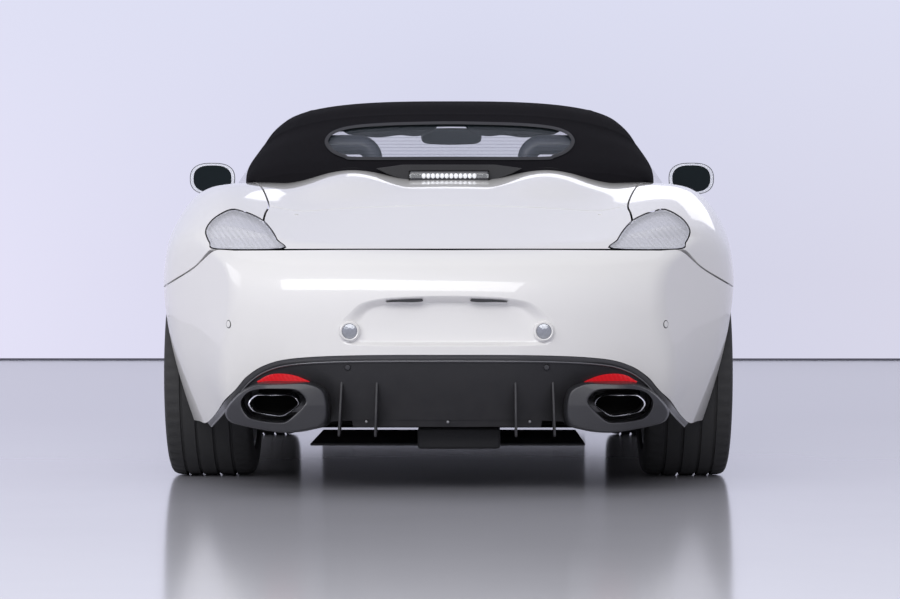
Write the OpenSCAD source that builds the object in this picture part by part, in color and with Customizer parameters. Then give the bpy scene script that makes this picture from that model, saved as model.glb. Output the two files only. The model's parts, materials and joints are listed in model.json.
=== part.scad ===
// Two-seat mid-engined roadster with a raised fabric roof.
// Frame: +Y forwards, +X to the right, +Z up, origin on the ground under the middle of the car.
// The skin is one surface, skin_depth(x, y, z) = 0; each panel is a curved tile cut from it.

/* [Overall] */
// Length over the bumpers
body_l = 4330; // [3700:10:5200]
// Width over the rear wings
body_w = 1830; // [1600:10:2200]
// Height of the roof above the ground
roof_h = 1266; // [1150:2:1500]
// Distance between the axles
wheelbase = 2415; // [2250:5:2800]
// Distance of the middle between the axles ahead of the body's middle
axle_shift = 28; // [0:1:60]

/* [Wheels] */
// Front tyre width
front_tyre_w = 235; // [205:5:265]
// Rear tyre width
rear_tyre_w = 295; // [255:5:315]
// Front tyre radius
front_tyre_r = 323; // [310:1:345]
// Rear tyre radius
rear_tyre_r = 330; // [315:1:350]
// Rim radius at the bead seat
rim_r = 241; // [228:1:254]
// Distance of the outer tyre face inside the widest body, front
front_inset = 55; // [40:1:80]
// Distance of the outer tyre face inside the widest body, rear
rear_inset = 3; // [0:1:40]
// Spindle radius
spindle_r = 22; // [18:1:28]
// Radial clearance of the hub on its spindle
spindle_fit = 0.05; // [0.02:0.01:0.1]
// Brake disc radius
disc_r = 160; // [140:1:175]
// Gap between tyre and front wing edge
front_arch_gap = 28; // [20:1:50]
// Gap between tyre and rear wing edge
rear_arch_gap = 24; // [20:1:50]

/* [Panels] */
// Thickness of fixed skin panels
panel_t = 16; // [8:1:24]
// Thickness of the two lids
lid_t = 22; // [12:1:30]
// Gap between neighbouring panels
panel_gap = 5; // [5:0.5:8]
// Thickness of the whole door
door_t = 120; // [90:1:150]
// Thickness of glass
glass_t = 5; // [4:0.5:8]
// Thickness of the fabric roof with its lining
roof_t = 14; // [8:1:30]

/* [Hinges] */
// Radius of door and lid hinge pins
pin_r = 6; // [4:0.5:9]
// Radial clearance round hinge pins
pin_fit = 0.3; // [0.1:0.1:0.6]
// Radius of the kingpins
kingpin_r = 9; // [7:0.5:12]

/* [Hidden] */
$fn = 64;

// Nominal sizes that the section tables are written for, and the stretch from them.
kx = body_w / 1830;
ky = body_l / 4330;
kz = roof_h / 1266;

front_axle_y = axle_shift + wheelbase / 2;
rear_axle_y = axle_shift - wheelbase / 2;
front_wheel_x = body_w / 2 - front_inset - front_tyre_w / 2;
rear_wheel_x = body_w / 2 - rear_inset - rear_tyre_w / 2;
front_arch_r = front_tyre_r + front_arch_gap;
rear_arch_r = rear_tyre_r + rear_arch_gap;

// ---------------------------------------------------------------- body surface
// Body stations from tail to nose.
// Columns: y, centre height, crown to x 580, wing ridge height, ridge x, half width at the waist, tuck below
BODY = [
    [-2165, 684, 10, 684, 560, 640, 80],
    [-2000, 733, 14, 724, 600, 690, 85],
    [-1800, 784, 20, 786, 655, 768, 88],
    [-1600, 835, 24, 850, 690, 856, 85],
    [-1400, 886, 27, 898, 712, 898, 75],
    [-1210, 932, 29, 928, 728, 914, 62],
    [-1050, 958, 29, 939, 740, 917, 52],
    [ -850, 975, 30, 945, 742, 912, 44],
    [ -550, 985, 34, 946, 742, 900, 40],
    [ -200, 965, 40, 926, 738, 890, 42],
    [  200, 925, 40, 908, 738, 886, 44],
    [  600, 895, 30, 892, 728, 886, 46],
    [  900, 862, 26, 872, 708, 892, 48],
    [ 1235, 800, 22, 842, 690, 902, 52],
    [ 1550, 728, 20, 786, 672, 886, 60],
    [ 1800, 660, 20, 704, 640, 818, 66],
    [ 2000, 590, 18, 606, 560, 700, 70],
    [ 2165, 500, 16, 500, 480, 560, 70]];
// Twin fairings behind the seats: height by station. Columns: y, height
FAIRING = [[-1520, 0], [-1400, 5], [-1210, 26], [-1000, 36], [-700, 40], [-550, 42], [-300, 0]];
fairing_x = 333;
fairing_w = 215;
waist_z = 610;
tumble = 76;
// Rear face: distance ahead of the rearmost point by height. Columns: z, y
TAIL = [[100, 150], [250, 75], [330, 42], [414, 20], [500, 5], [570, 0], [630, 10], [680, 40], [715,
    90], [760, 170]];
// Front face: distance behind the foremost point by height. Columns: z, y
NOSE = [[100, 90], [200, 45], [300, 12], [400, 0], [480, 6], [540, 30], [600, 80], [680, 180]];
// Flat cut across each rear corner: a point on it and its outward normal, for the right side
CORNER_AT = [621, -2000, 720];
CORNER_N = [0.879, -0.474, 0.047];

function seg(t, x, i = 0) = i >= len(t) - 2 || x < t[i + 1][0] ? i : seg(t, x, i + 1);
function slope(t, c, i) =
    let (a = max(i - 1, 0), b = min(i + 1, len(t) - 1)) (t[b][c] - t[a][c]) / (t[b][0] - t[a][0]);
// Smooth curve through column c of table t at x, held at the table's ends
function curve(t, c, x) =
    let (q = min(max(x, t[0][0]), t[len(t) - 1][0]), i = seg(t, q), h = t[i + 1][0] - t[i][0],
        s = (q - t[i][0]) / h, m0 = slope(t, c, i) * h, m1 = slope(t, c, i + 1) * h)
    (2 * s^3 - 3 * s^2 + 1) * t[i][c] + (s^3 - 2 * s^2 + s) * m0
    + (3 * s^2 - 2 * s^3) * t[i + 1][c] + (s^3 - s^2) * m1;
function ease(s) = let (q = min(max(s, 0), 1)) q * q * (3 - 2 * q);
function smin(a, b, k) = let (h = max(k - abs(a - b), 0) / k) min(a, b) - h * h * k / 4;
function lerp(a, b, s) = a + (b - a) * s;
function unit(v) = v / norm(v);

// Height of the upper surface in nominal millimetres
function top_z(x, y) =
    let (c = curve(BODY, 1, y), w = curve(BODY, 2, y), f = curve(BODY, 3, y), r = curve(BODY, 4, y),
        base = c - w * min(x / 580, 1.3)^2, b_r = c - w * min(r / 580, 1.3)^2,
        q = (x - fairing_x) / fairing_w, bump = abs(q) < 1 ? (1 - q * q)^2 : 0)
    base + (f - b_r) * ease((x - 430) / (r - 430)) - (x > r ? 0.0046 * (x - r)^2 : 0)
    + bump * curve(FAIRING, 1, y);
// Half width at height z
function side_x(y, z) =
    curve(BODY, 5, y) - (z < waist_z ? curve(BODY, 6,
        y) * ((waist_z - z) / 400)^2 : tumble * ((z - waist_z) / 300)^2);
function tail_y(x, z) = -2165 + 150 * (x / 600)^2.4 + curve(TAIL, 1, z);
function nose_y(x, z) = 2165 - 165 * (x / 600)^2.3 - curve(NOSE, 1, z);
// Depth below the skin: positive inside, in nominal millimetres
function skin_depth(p) =
    let (x = abs(p[0]), y = p[1], z = p[2],
        top = 0.95 * (top_z(x, y) - z), side = side_x(y, z) - x,
        tail = y - tail_y(x, z), nose = nose_y(x, z) - y,
        corner = -([x, y, z] - CORNER_AT) * CORNER_N)
    smin(smin(top, side, y < 0 ? 26 : 60), y < 0 ? smin(tail, corner, 24) : nose, y < 0 ? 34 : 80);

// Ways of naming a place on the skin: its start point and direction, in nominal millimetres
ROUND_X = 300;
ROUND_Z = 400;
END_Y = 1200;
function ray_from(way, a, b) =
    way == "top" ? [a, b, 1400] : way == "side" ? [ROUND_X, a, ROUND_Z]
    : way == "flank" ? [0, a, b] : way == "aft" ? [a, -END_Y, b] : way == "fore" ? [a, END_Y,
        b] : way == "rear" ? [0, -END_Y, b] : [0, END_Y, b];
function ray_along(way, a, b) =
    way == "top" ? [0, 0, -1] : way == "side" ? [cos(b), 0, sin(b)]
    : way == "flank" ? [1, 0, 0] : way == "aft" ? [0, -1, 0] : way == "fore" ? [0, 1,
        0] : way == "rear" ? [sin(a), -cos(a), 0] : [sin(a), cos(a), 0];
function bisect(o, d, lo, hi, inside_lo, n) =
    n == 0 ? o + d * (lo + hi) / 2
    : let (m = (lo + hi) / 2, inside = skin_depth(o + d * m) > 0)
    inside == inside_lo ? bisect(o, d, m, hi, inside_lo, n - 1) : bisect(o, d, lo, m, inside_lo, n - 1);
function skin_point(way, q) =
    let (o = ray_from(way, q[0], q[1]), d = ray_along(way, q[0], q[1]))
    way == "top" ? bisect(o, d, 0, 1100, false, 15) : bisect(o, d, 20, 1200, true, 15);
function skin_normal(p) =
    let (e = 2, g = skin_depth(p))
    -unit([skin_depth(p + [e, 0, 0]) - g, skin_depth(p + [0, e, 0]) - g, skin_depth(p + [0, 0, e]) - g]);
// Side place at station y and height z, or at x and y on the upper surface
function at_side(y, z) = [y, atan2(z - ROUND_Z, skin_point("flank", [y, z])[0] - ROUND_X)];
function at_top(x, y) = [y, atan2(top_z(x, y) - ROUND_Z, x - ROUND_X)];
// Rear or front place at height z, by station y, or by x as seen from behind or from ahead
function at_end(y, z) = [atan2(skin_point("flank", [y, z])[0], abs(y) - END_Y), z];
function at_aft(x, z) = let (p = skin_point("aft", [x, z])) [atan2(p[0], -p[1] - END_Y), z];
function at_fore(x, z) = let (p = skin_point("fore", [x, z])) [atan2(p[0], p[1] - END_Y), z];

// A line of control places spread into n + 1 places by a smooth curve through them
function spread(line, n) =
    let (t = [for (i = [0 : len(line) - 1]) [i, line[i][0], line[i][1]]])
    [for (i = [0 : n]) let (s = (len(line) - 1) * i / n) [curve(t, 1, s), curve(t, 2, s)]];

stretch = [[kx, 0, 0], [0, ky, 0], [0, 0, kz]];
// Closed tile from two grids of points, outer and inner, rows of equal length
module grid_solid(outer, inner) {
    nr = len(outer);
    nc = len(outer[0]);
    pts = concat([for (r = outer) for (p = r) p], [for (r = inner) for (p = r) p]);
    m = nr * nc;
    function id(r, c) = r * nc + c;
    faces = concat(
        [for (r = [0 : nr - 2], c = [0 : nc - 2], h = [0, 1])
            h == 0 ? [id(r, c), id(r + 1, c), id(r + 1, c + 1)] : [id(r, c), id(r + 1, c + 1), id(r,
                c + 1)]],
        [for (r = [0 : nr - 2], c = [0 : nc - 2], h = [0, 1])
            h == 0 ? [m + id(r, c), m + id(r + 1, c + 1), m + id(r + 1, c)]
            : [m + id(r, c), m + id(r, c + 1), m + id(r + 1, c + 1)]],
        [for (c = [0 : nc - 2], h = [0, 1])
            h == 0 ? [id(0, c), id(0, c + 1), m + id(0, c)] : [m + id(0, c), id(0, c + 1), m + id(0,
                c + 1)]],
        [for (c = [0 : nc - 2], h = [0, 1])
            h == 0 ? [id(nr - 1, c), m + id(nr - 1, c), id(nr - 1, c + 1)]
            : [m + id(nr - 1, c), m + id(nr - 1, c + 1), id(nr - 1, c + 1)]],
        [for (r = [0 : nr - 2], h = [0, 1])
            h == 0 ? [id(r, 0), m + id(r, 0), id(r + 1, 0)] : [m + id(r, 0), m + id(r + 1, 0), id(r + 1,
                0)]],
        [for (r = [0 : nr - 2], h = [0, 1])
            h == 0 ? [id(r, nc - 1), id(r + 1, nc - 1), m + id(r, nc - 1)]
            : [m + id(r, nc - 1), id(r + 1, nc - 1), m + id(r + 1, nc - 1)]]);
    r = floor(nr / 2) - 1;
    c = floor(nc / 2) - 1;
    out = cross(outer[r][c + 1] - outer[r][c],
        outer[r + 1][c] - outer[r][c]) * (outer[r][c] - inner[r][c]) > 0;
    polyhedron(pts, out ? faces : [for (f = faces) [f[0], f[2], f[1]]], convexity = 6);
}
// Skin tile between a lower and an upper line of places. It is nc cells along and nr cells up.
// Its inner face is t deep along the normal, or at x = flat_x where that is given.
module tile(way, low, high, nc, nr, t, flat_x = 0, sink = 0) {
    lo = spread(low, nc);
    hi = spread(high, nc);
    skin = [for (r = [0 : nr]) [for (c = [0 : nc])
        let (p = skin_point(way, lerp(lo[c], hi[c], r / nr))) sink == 0 ? p : p - skin_normal(p) * sink]];
    inner = [for (row = skin) [for (p = row)
        flat_x > 0 ? [flat_x, p[1], p[2]] : p - skin_normal(p) * t]];
    grid_solid([for (row = skin) [for (p = row) stretch * p]],
        [for (row = inner) [for (p = row) stretch * p]]);
}
// Keeps free-form boolean work as one mesh
module as_mesh() { resize([0, 0, 0]) children(); }
module mirrored() {
    children();
    mirror([1, 0, 0]) children();
}
module side_of(left) { if (left) mirror([1, 0, 0]) children(); else children(); }
// Bar of radius r from a to b
module bar(a, b, r) {
    d = b - a;
    translate(a) rotate([0, acos(d[2] / norm(d)), atan2(d[1], d[0])]) cylinder(r = r, h = norm(d));
}
// A line of places given for the right half, carried over to the left half
function both(line) = concat([for (i = [len(line) - 1 : -1 : 1]) [-line[i][0], line[i][1]]], line);
module block(lo, hi) { translate(lo) cube(hi - lo); }
// Lines of places shared by neighbouring panels, right side
DOOR_REAR = -500;
DOOR_FRONT = 699;
door_low_z = 236;
// Side line of the roof lid and the rear lid from above. Columns: x, y
DECK_LINE = [[668, -560], [664, -850], [625, -1080], [588, -1300], [560, -1500], [562, -1620], [560,
    -1720], [542, -1840],
    [518, -1950], [497, -2060]];
// Side line of the front lid from above
LID_LINE = [[610, 870], [604, 1100], [582, 1350], [545, 1600], [500, 1780], [430, 1900]];
WING_LINE = [[745, DOOR_FRONT + panel_gap + 2], [670, 790], [614, 880], [604, 1100], [582, 1350], [545,
    1600], [500, 1780],
    [430, 1900]];
// Split between wing and bumper at each end. Columns: y, z
FRONT_SPLIT = [[1350, 470], [1430, 548], [1540, 582], [1650, 597], [1780, 603], [1860, 604]];
REAR_SPLIT = [[-1250, 590], [-1408, 606], [-1560, 626], [-1720, 668], [-1850, 722]];
// Upper edge of the rear bumper as seen from behind, beyond the lamp. Columns: x, z
BUMPER_TOP = [[0, 716], [250, 717], [500, 716], [640, 716], [726, 712]];
// Lower edge of the rear bumper as seen from behind
BUMPER_LOW = [[0, 412], [270, 410], [446, 400], [532, 380], [592, 344], [642, 291], [691, 238], [738, 192]];
// Tail lamp outline as seen from behind
LAMP = [[491, 722], [691, 722], [718, 742], [735, 772], [728, 800], [706, 824], [667, 845], [628, 838],
    [595, 826],
    [565, 810], [541, 789], [522, 768], [508, 748]];
// Head lamp outline from above
HEAD = [[560, 1890], [640, 1845], [704, 1770], [738, 1670], [735, 1590], [700, 1560], [655, 1600], [605,
    1690], [560, 1790],
    [535, 1860]];

// ---------------------------------------------------------------- chassis
floor_z = 140;
rail_front_x = 424;
rail_rear_x = 500;
rail_rear_z = 390;
firewall_y = 800;
bulkhead_y = -760;
post_y = 796;
post_top = 800;
sill_top = 222;
pivot_x = 861;
pivot_y = DOOR_FRONT + 83;
hinge_zs = [540, 650];
ring_h = 24;
king_dx = 85;
strut_dx = 165;
tower_front_z = 700;
tower_rear_z = 680;
front_pivot = [846, 826];
rear_pivot = [-1440, 806];
lid_hinge_x = 470;
liner_front_r = front_tyre_r + 73;
liner_rear_r = rear_tyre_r + 42;

module floor_pan() color([0.16, 0.165, 0.17]) {
    block([-700, bulkhead_y - 20, floor_z], [700, firewall_y + 16, floor_z + 20]);
    block([-95, bulkhead_y, floor_z], [95, firewall_y, 340]);
    block([-700, firewall_y, floor_z], [700, firewall_y + 16, post_top]);
    block([-640, bulkhead_y - 20, floor_z], [640, bulkhead_y, 865]);
    block([-640, bulkhead_y - 20, 850], [640, -575, 865]);
    mirrored() {
        block([690, bulkhead_y - 20, floor_z], [740, firewall_y + 16, sill_top + 78]);
        block([690, post_y, floor_z], [755, post_y + 34, post_top]);
        block([632, -620, floor_z], [725, -560, 858]);
        block([360, firewall_y, 230], [rail_front_x, 2010, 330]);
        block([rail_front_x - 12, front_axle_y - 60, 230], [rail_front_x, front_axle_y + 60, 745]);
        block([rail_front_x - 12, front_axle_y - 60, tower_front_z], [640, front_axle_y + 60,
            tower_front_z + 10]);
        block([430, -1990, rail_rear_z], [rail_rear_x, bulkhead_y, rail_rear_z + 90]);
        block([rail_rear_x - 12, rear_axle_y - 60, rail_rear_z], [rail_rear_x, rear_axle_y + 60, 745]);
        block([rail_rear_x - 12, rear_axle_y - 60, tower_rear_z], [650, rear_axle_y + 60,
            tower_rear_z + 8]);
        for (z = hinge_zs) {
            for (h = [-1, 1]) translate([0, 0, z + h * (ring_h / 2 + 5)]) {
                block([740, post_y, -4], [pivot_x + 8, post_y + 20, 4]);
                translate([pivot_x - 8, pivot_y, -4]) cube([16, post_y - pivot_y + 1, 8]);
                translate([pivot_x, pivot_y, -4]) cylinder(r = 9, h = 8);
            }
            translate([pivot_x, pivot_y, z - ring_h / 2 - 6]) cylinder(r = pin_r, h = ring_h + 12);
        }
        lid_hinge_mount(front_pivot, firewall_y + 16);
        block([lid_hinge_x - 22, firewall_y + 2, post_top - 10], [lid_hinge_x + 22, firewall_y + 16,
            front_pivot[1] + 9]);
        lid_hinge_mount(rear_pivot, rear_pivot[0] + 60);
        block([lid_hinge_x - 30, rear_pivot[0] + 52, rail_rear_z], [lid_hinge_x + 22,
            rear_pivot[0] + 64, rear_pivot[1] + 10]);
    }
    block([-rail_front_x, 1970, 230], [rail_front_x, 2010, 330]);
    block([-rail_rear_x, -2010, rail_rear_z], [rail_rear_x, -1980, rail_rear_z + 90]);
}
// Pair of plates with a pin along x that carries one lid hinge; the plates reach to y = back
module lid_hinge_mount(at, back) {
    for (x = [lid_hinge_x - 22, lid_hinge_x + 14])
        block([x, min(at[0] - 9, back), at[1] - 9], [x + 8, max(at[0] + 9, back), at[1] + 9]);
    translate([lid_hinge_x - 22, at[0], at[1]]) rotate([0, 90, 0]) cylinder(r = pin_r, h = 44);
}
// Goose neck in the plane of y and z about the pivot: 16 wide, from the pivot round to the lid
module goose(at, dir, lift) {
    path = [[0, 0], [-42, -56], [-84, -54], [-120, -14], [-124, lift]];
    for (x = [-1, 1]) translate([x * lid_hinge_x, at[0], at[1]]) rotate([90, 0, 90]) translate([0, 0, -12])
        difference() {
            linear_extrude(24) union() {
                for (i = [0 : 3]) hull() for (p = [path[i], path[i + 1]])
                    translate([dir * p[0], p[1]]) circle(r = 8, $fn = 16);
                circle(r = 12, $fn = 24);
            }
            translate([0, 0, -1]) cylinder(r = pin_r + pin_fit, h = 26, $fn = 32);
        }
}
// Space swept by a lid's front edge about its pivot
module pivot_cylinder(at, r) translate([-900, at[0], at[1]]) rotate([0, 90, 0]) cylinder(r = r,
    h = 1800, $fn = 64);
module arch_cut(y, r, wheel_r) translate([560, y, wheel_r]) rotate([0, 90, 0]) cylinder(r = r, h = 500,
    $fn = 60);
module prism_y(outline, y0, y1, grow = 0)
    mirrored() translate([0, y1, 0]) rotate([90, 0,
        0]) linear_extrude(y1 - y0) offset(delta = grow) polygon(outline);
module prism_z(outline, z0, z1, grow = 0)
    mirrored() translate([0, 0, z0]) linear_extrude(z1 - z0) offset(delta = grow) polygon(outline);

module cabin_walls() color([0.11, 0.11, 0.12]) {
    block([-630, bulkhead_y, 340], [630, bulkhead_y + 14, 850]);
    mirrored() block([96, bulkhead_y, 160], [630, bulkhead_y + 14, 340]);
    mirrored() block([676, -540, 160], [690, post_y, 300]);
}
module sills() color([0.09, 0.09, 0.095]) as_mesh() mirrored() difference() {
    union() {
        tile("side", [for (y = [-900 : 300 : 900]) at_side(y, 118)],
            [for (y = [-900 : 300 : 900]) at_side(y, 226)],
            12, 2, 18, sink = 6);
        for (y = [-600, 0, 600]) block([740, y, 150], [836, y + 40, 190]);
    }
    arch_cut(rear_axle_y, rear_arch_r, rear_tyre_r);
    arch_cut(front_axle_y, front_arch_r, front_tyre_r);
}

// ---------------------------------------------------------------- body panels
module front_wings() color([0.86, 0.86, 0.84]) as_mesh() mirrored() difference() {
    union() {
        tile("side", concat([at_side(DOOR_FRONT + panel_gap + 2, door_low_z), at_side(900, 240),
            at_side(1100, 300)],
                [for (q = FRONT_SPLIT) at_side(q[0], q[1])]),
            [for (q = WING_LINE) at_top(q[0] + panel_gap / 2 + 0.5, q[1])], 15, 8, 12);
        block([755, post_y + 2, 588], [880, post_y + 12, 606]);
        block([620, front_axle_y - 20, 745], [640, front_axle_y + 20, 812]);
        block([rail_front_x - 12, front_axle_y - 20, 745], [640, front_axle_y + 20, 755]);
    }
    arch_cut(front_axle_y, front_arch_r, front_tyre_r);
    prism_z(HEAD, 400, 1000, panel_gap / 2);
}
module rear_wings() color([0.86, 0.86, 0.84]) as_mesh() mirrored() difference() {
    union() {
        tile("side", concat([at_side(DOOR_REAR - panel_gap, door_low_z - 2), at_side(-800, 238),
            at_side(-1000, 330)],
                [for (q = REAR_SPLIT) at_side(q[0], q[1])], [at_top(570, -2020)]),
            concat([[DOOR_REAR - panel_gap, at_top(671, -505)[1]]],
                [for (q = DECK_LINE) if (q[1] < -600 && q[1] > -2000) at_top(q[0] + panel_gap / 2 + 0.5,
                    q[1])],
                [at_top(512, -2020)]),
            18, 8, panel_t);
        block([725, -600, 700], [884, -580, 730]);
    }
    arch_cut(rear_axle_y, rear_arch_r, rear_tyre_r);
    prism_y(LAMP, -2300, -1300, panel_gap / 2);
    block([720, -760, 560], [950, -640, 740]);
    block([400, -2100, 600], [700, -1872, 719]);
}
module door() difference() {
    union() {
        tile("side", [for (y = [DOOR_REAR, -150, 250, DOOR_FRONT]) at_side(y, door_low_z)],
            [for (y = [DOOR_REAR, -150, 250, DOOR_FRONT]) at_top(782, y)], 10, 6, 14,
                flat_x = 885 - door_t);
        for (z = hinge_zs) translate([pivot_x, pivot_y, z - ring_h / 2]) linear_extrude(ring_h) {
            circle(r = 9.5, $fn = 24);
            hull() { circle(r = 7, $fn = 16); translate([-80, -16]) circle(r = 9, $fn = 16); }
            hull() { translate([-80, -16]) circle(r = 9, $fn = 16); translate([-80, -97]) circle(r = 9,
                $fn = 16); }
        }
    }
    for (z = hinge_zs) translate([pivot_x, pivot_y, z - ring_h]) cylinder(r = pin_r + pin_fit,
        h = 2 * ring_h, $fn = 32);
    window(2);
}
module left_door() color([0.86, 0.86, 0.84]) as_mesh() mirror([1, 0, 0]) door();
module right_door() color([0.86, 0.86, 0.84]) as_mesh() door();
// Side window pane; extra widens it for the slot in the door. Columns: y, z of its outline
PANE = [[-470, 872], [600, 872], [640, 912], [560, 968], [160, 1138], [20, 1141], [-120, 1118], [-330,
    1056], [-475, 1010]];
function pane_x(z) = 772 - 0.62 * (z - 905) - 0.0004 * (z - 905)^2;
module window(extra = 0) intersection() {
    grid_solid([for (z = [1180 : -40 : 860]) [for (y = [-520, 700]) [pane_x(z) + extra / 2, y, z]]],
        [for (z = [1180 : -40 : 860]) [for (y = [-520, 700]) [pane_x(z) - glass_t - extra / 2, y, z]]]);
    translate([500, 0, 0]) rotate([90, 0, 90]) linear_extrude(400) offset(delta = extra / 2) polygon(PANE);
}
module left_door_glass() color([0.6, 0.68, 0.7, 0.45]) as_mesh() mirror([1, 0, 0]) window();
module right_door_glass() color([0.6, 0.68, 0.7, 0.45]) as_mesh() window();
mirror_at = [906, 500, 1008];
module side_mirror() union() {
    difference() {
        translate(mirror_at) scale([1, 0.75, 0.72]) sphere(r = 86, $fn = 24);
        translate(mirror_at + [-120, -140, -80]) cube([240, 110, 160]);
    }
    difference() {
        hull() {
            translate(mirror_at + [-52, 10, -48]) cube([20, 36, 8]);
            translate([786, 520, 846]) cube([26, 50, 4]);
        }
        tile("side", [for (y = [DOOR_REAR, -150, 250, DOOR_FRONT]) at_side(y, door_low_z)],
            [for (y = [DOOR_REAR, -150, 250, DOOR_FRONT]) at_top(782, y)], 10, 6, 14,
                flat_x = 885 - door_t, sink = -0.3);
        block([740, 500, 820], [783, 600, 1000]);
        window(8);
    }
}
module left_mirror() color([0.2, 0.21, 0.22]) as_mesh() mirror([1, 0, 0]) side_mirror();
module right_mirror() color([0.2, 0.21, 0.22]) as_mesh() side_mirror();

// Upright prism between a side line and its mirror image, from station y0 to y1
module lid_prism(line, gap, y0, y1) translate([0, 0, 300]) linear_extrude(900) {
    p = [for (q = spread(line, 30)) [q[0] - gap, q[1]]];
    n = len(p) - 1;
    intersection() {
        polygon(concat([[p[0][0], p[0][1] - sign(p[n][1] - p[0][1]) * 120]], p, [[p[n][0],
            p[n][1] + sign(p[n][1]) * 60]],
            [[-p[n][0], p[n][1] + sign(p[n][1]) * 60]], [for (i = [n : -1 : 0]) [-p[i][0], p[i][1]]],
            [[-p[0][0], p[0][1] - sign(p[n][1] - p[0][1]) * 120]]));
        translate([-900, min(y0, y1)]) square([1800, abs(y1 - y0)]);
    }
}
module front_lid() color([0.86, 0.86, 0.84]) as_mesh() union() {
    difference() {
        intersection() {
            tile("top", [for (y = [780, 1000, 1250, 1500, 1700, 1850, 1945]) [-640, y]],
                [for (y = [780, 1000, 1250, 1500, 1700, 1850, 1945]) [640, y]], 11, 12, lid_t);
            lid_prism(LID_LINE, panel_gap / 2 + 2, 780, 1932);
        }
        prism_z(HEAD, 300, 1200, panel_gap / 2);
        pivot_cylinder(front_pivot, 62);
        translate([-900, 700, 300]) cube([1800, front_pivot[0] - 700, 900]);
    }
    goose(front_pivot, -1, 30);
}
module rear_lid() color([0.86, 0.86, 0.84]) as_mesh() union() {
    difference() {
        intersection() {
            tile("top", [for (y = [-1440, -1560, -1700, -1900, -2075]) [-570, y]],
                [for (y = [-1440, -1560, -1700, -1900, -2075]) [570, y]], 9, 12, lid_t);
            lid_prism(DECK_LINE, panel_gap / 2 + 0.5, -1420, -2100);
        }
        pivot_cylinder(rear_pivot, 85);
        translate([-900, rear_pivot[0], 300]) cube([1800, 200, 900]);
        block([-900, -2300, 300], [900, -1700, 716 + panel_gap]);
        prism_y(LAMP, -2300, -1300, panel_gap / 2);
    }
    goose(rear_pivot, 1, 26);
}
module roof_lid() color([0.86, 0.86, 0.84]) as_mesh() difference() {
    union() {
        intersection() {
            tile("top", [for (y = [-650, -850, -1080, -1300, -1520]) [-660, y]],
                [for (y = [-650, -850, -1080, -1300, -1520]) [660, y]], 10, 22, lid_t);
            lid_prism(DECK_LINE, panel_gap / 2 + 0.5, -640, -1560);
            union() {
                block([-900, rear_pivot[0], 300], [900, 0, 1200]);
                pivot_cylinder(rear_pivot, 80);
            }
        }
    }
    block([-132, -1092, 948], [132, -1040, 1100]);
}
module rear_bumper() color([0.86, 0.86, 0.84]) as_mesh() difference() {
    union() {
        tile("rear", both(concat([[0, 412]], [for (i = [1 : 7]) at_aft(BUMPER_LOW[i][0],
            BUMPER_LOW[i][1])], [[64, 192], [75, 190]])),
            both(concat([[0, 716]], [for (i = [1 : 3]) at_aft(BUMPER_TOP[i][0], BUMPER_TOP[i][1])],
                [for (i = [4 : -1 : 1]) at_end(REAR_SPLIT[i][0], REAR_SPLIT[i][1] - panel_gap - 1)])),
                    38, 7, panel_t);
        mirrored() block([436, -2074, 420], [462, -2010, 450]);
        block([-330, -2122, plate_z - 84], [330, -2112, plate_z + 90]);
    }
    mirrored() arch_cut(rear_axle_y, rear_arch_r, rear_tyre_r);
    prism_y(LAMP, -2300, -1300, panel_gap / 2);
    translate([0, -2122, plate_z]) rotate([90, 0, 0]) linear_extrude(200) offset(r = 12)
        polygon([[-300, -58], [300, -58], [300, 20], [270, 46], [190, 60], [-190, 60], [-270, 46],
            [-300, 20]]);
}
plate_z = 506;
module diffuser() color([0.13, 0.135, 0.14]) as_mesh() difference() {
    union() {
        tile("rear", both([[0, 214], [8, 214], [16, 212], [24, 206], [31, 196], [35.5, 188]]),
            both([[0, 404], [at_aft(180, 403)[0], 403], [at_aft(446, 391)[0], 391], [at_aft(560,
                352)[0], 352],
                [at_aft(630, 291)[0], 291], [at_aft(670, 236)[0], 236]]), 20, 5, 10, sink = 12);
        for (x = [-390, -278, 140, 252]) block([x - 4, -2112, 182], [x + 4, -2040, 350]);
        block([-420, -2060, 182], [420, -2050, 400]);
        mirrored() block([400, -2056, 376], [rail_rear_x - 24, -2010, 393]);
    }
    mirrored() translate([508, -1900, 261]) rotate([90, 0, 0]) linear_extrude(400) offset(r = 50, $fn = 24)
        square([118, 8], center = true);
}
module exhaust() color([0.6, 0.6, 0.6]) {
    block([-260, -1960, 215], [260, -1740, 350]);
    block([-60, -1745, 300], [60, -1690, 340]);
    as_mesh() mirrored() {
        translate([240, -1850, 262]) rotate([0, 90, 0]) cylinder(r = 30, h = 268, $fn = 24);
        translate([508, -1820, 261]) rotate([90, 0, 0]) cylinder(r = 30, h = 180, $fn = 24);
        translate([508, -1990, 261]) rotate([90, 0, 0]) linear_extrude(122) difference() {
            offset(r = 28, $fn = 24) square([98, 12], center = true);
            offset(r = 25, $fn = 24) square([98, 12], center = true);
        }
        translate([508, -1985, 261]) rotate([90, 0, 0]) linear_extrude(10) offset(r = 27,
            $fn = 24) square([98, 12], center = true);
    }
}
module front_bumper() color([0.86, 0.86, 0.84]) as_mesh() difference() {
    union() {
        tile("front", both([[0, 150], [15, 150], [30, 152], [45, 160], [60, 175], [77, 190]]),
            both(concat([[0, 560], at_fore(250, 560), at_fore(430, 566)],
                [for (i = [5 : -1 : 0]) at_end(FRONT_SPLIT[i][0], FRONT_SPLIT[i][1] - panel_gap - 1)])),
                    32, 7, panel_t);
        block([-360, 2010, 250], [360, 2120, 270]);
    }
    mirrored() arch_cut(front_axle_y, front_arch_r, front_tyre_r);
    translate([0, 2300, 245]) rotate([90, 0, 0]) linear_extrude(170) offset(r = 25) square([560, 70],
        center = true);
    mirrored() translate([560, 2300, 255]) rotate([90, 0,
        0]) linear_extrude(400) offset(r = 25) square([190, 90], center = true);
    prism_z(HEAD, 400, 1000, panel_gap / 2);
}
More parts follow.
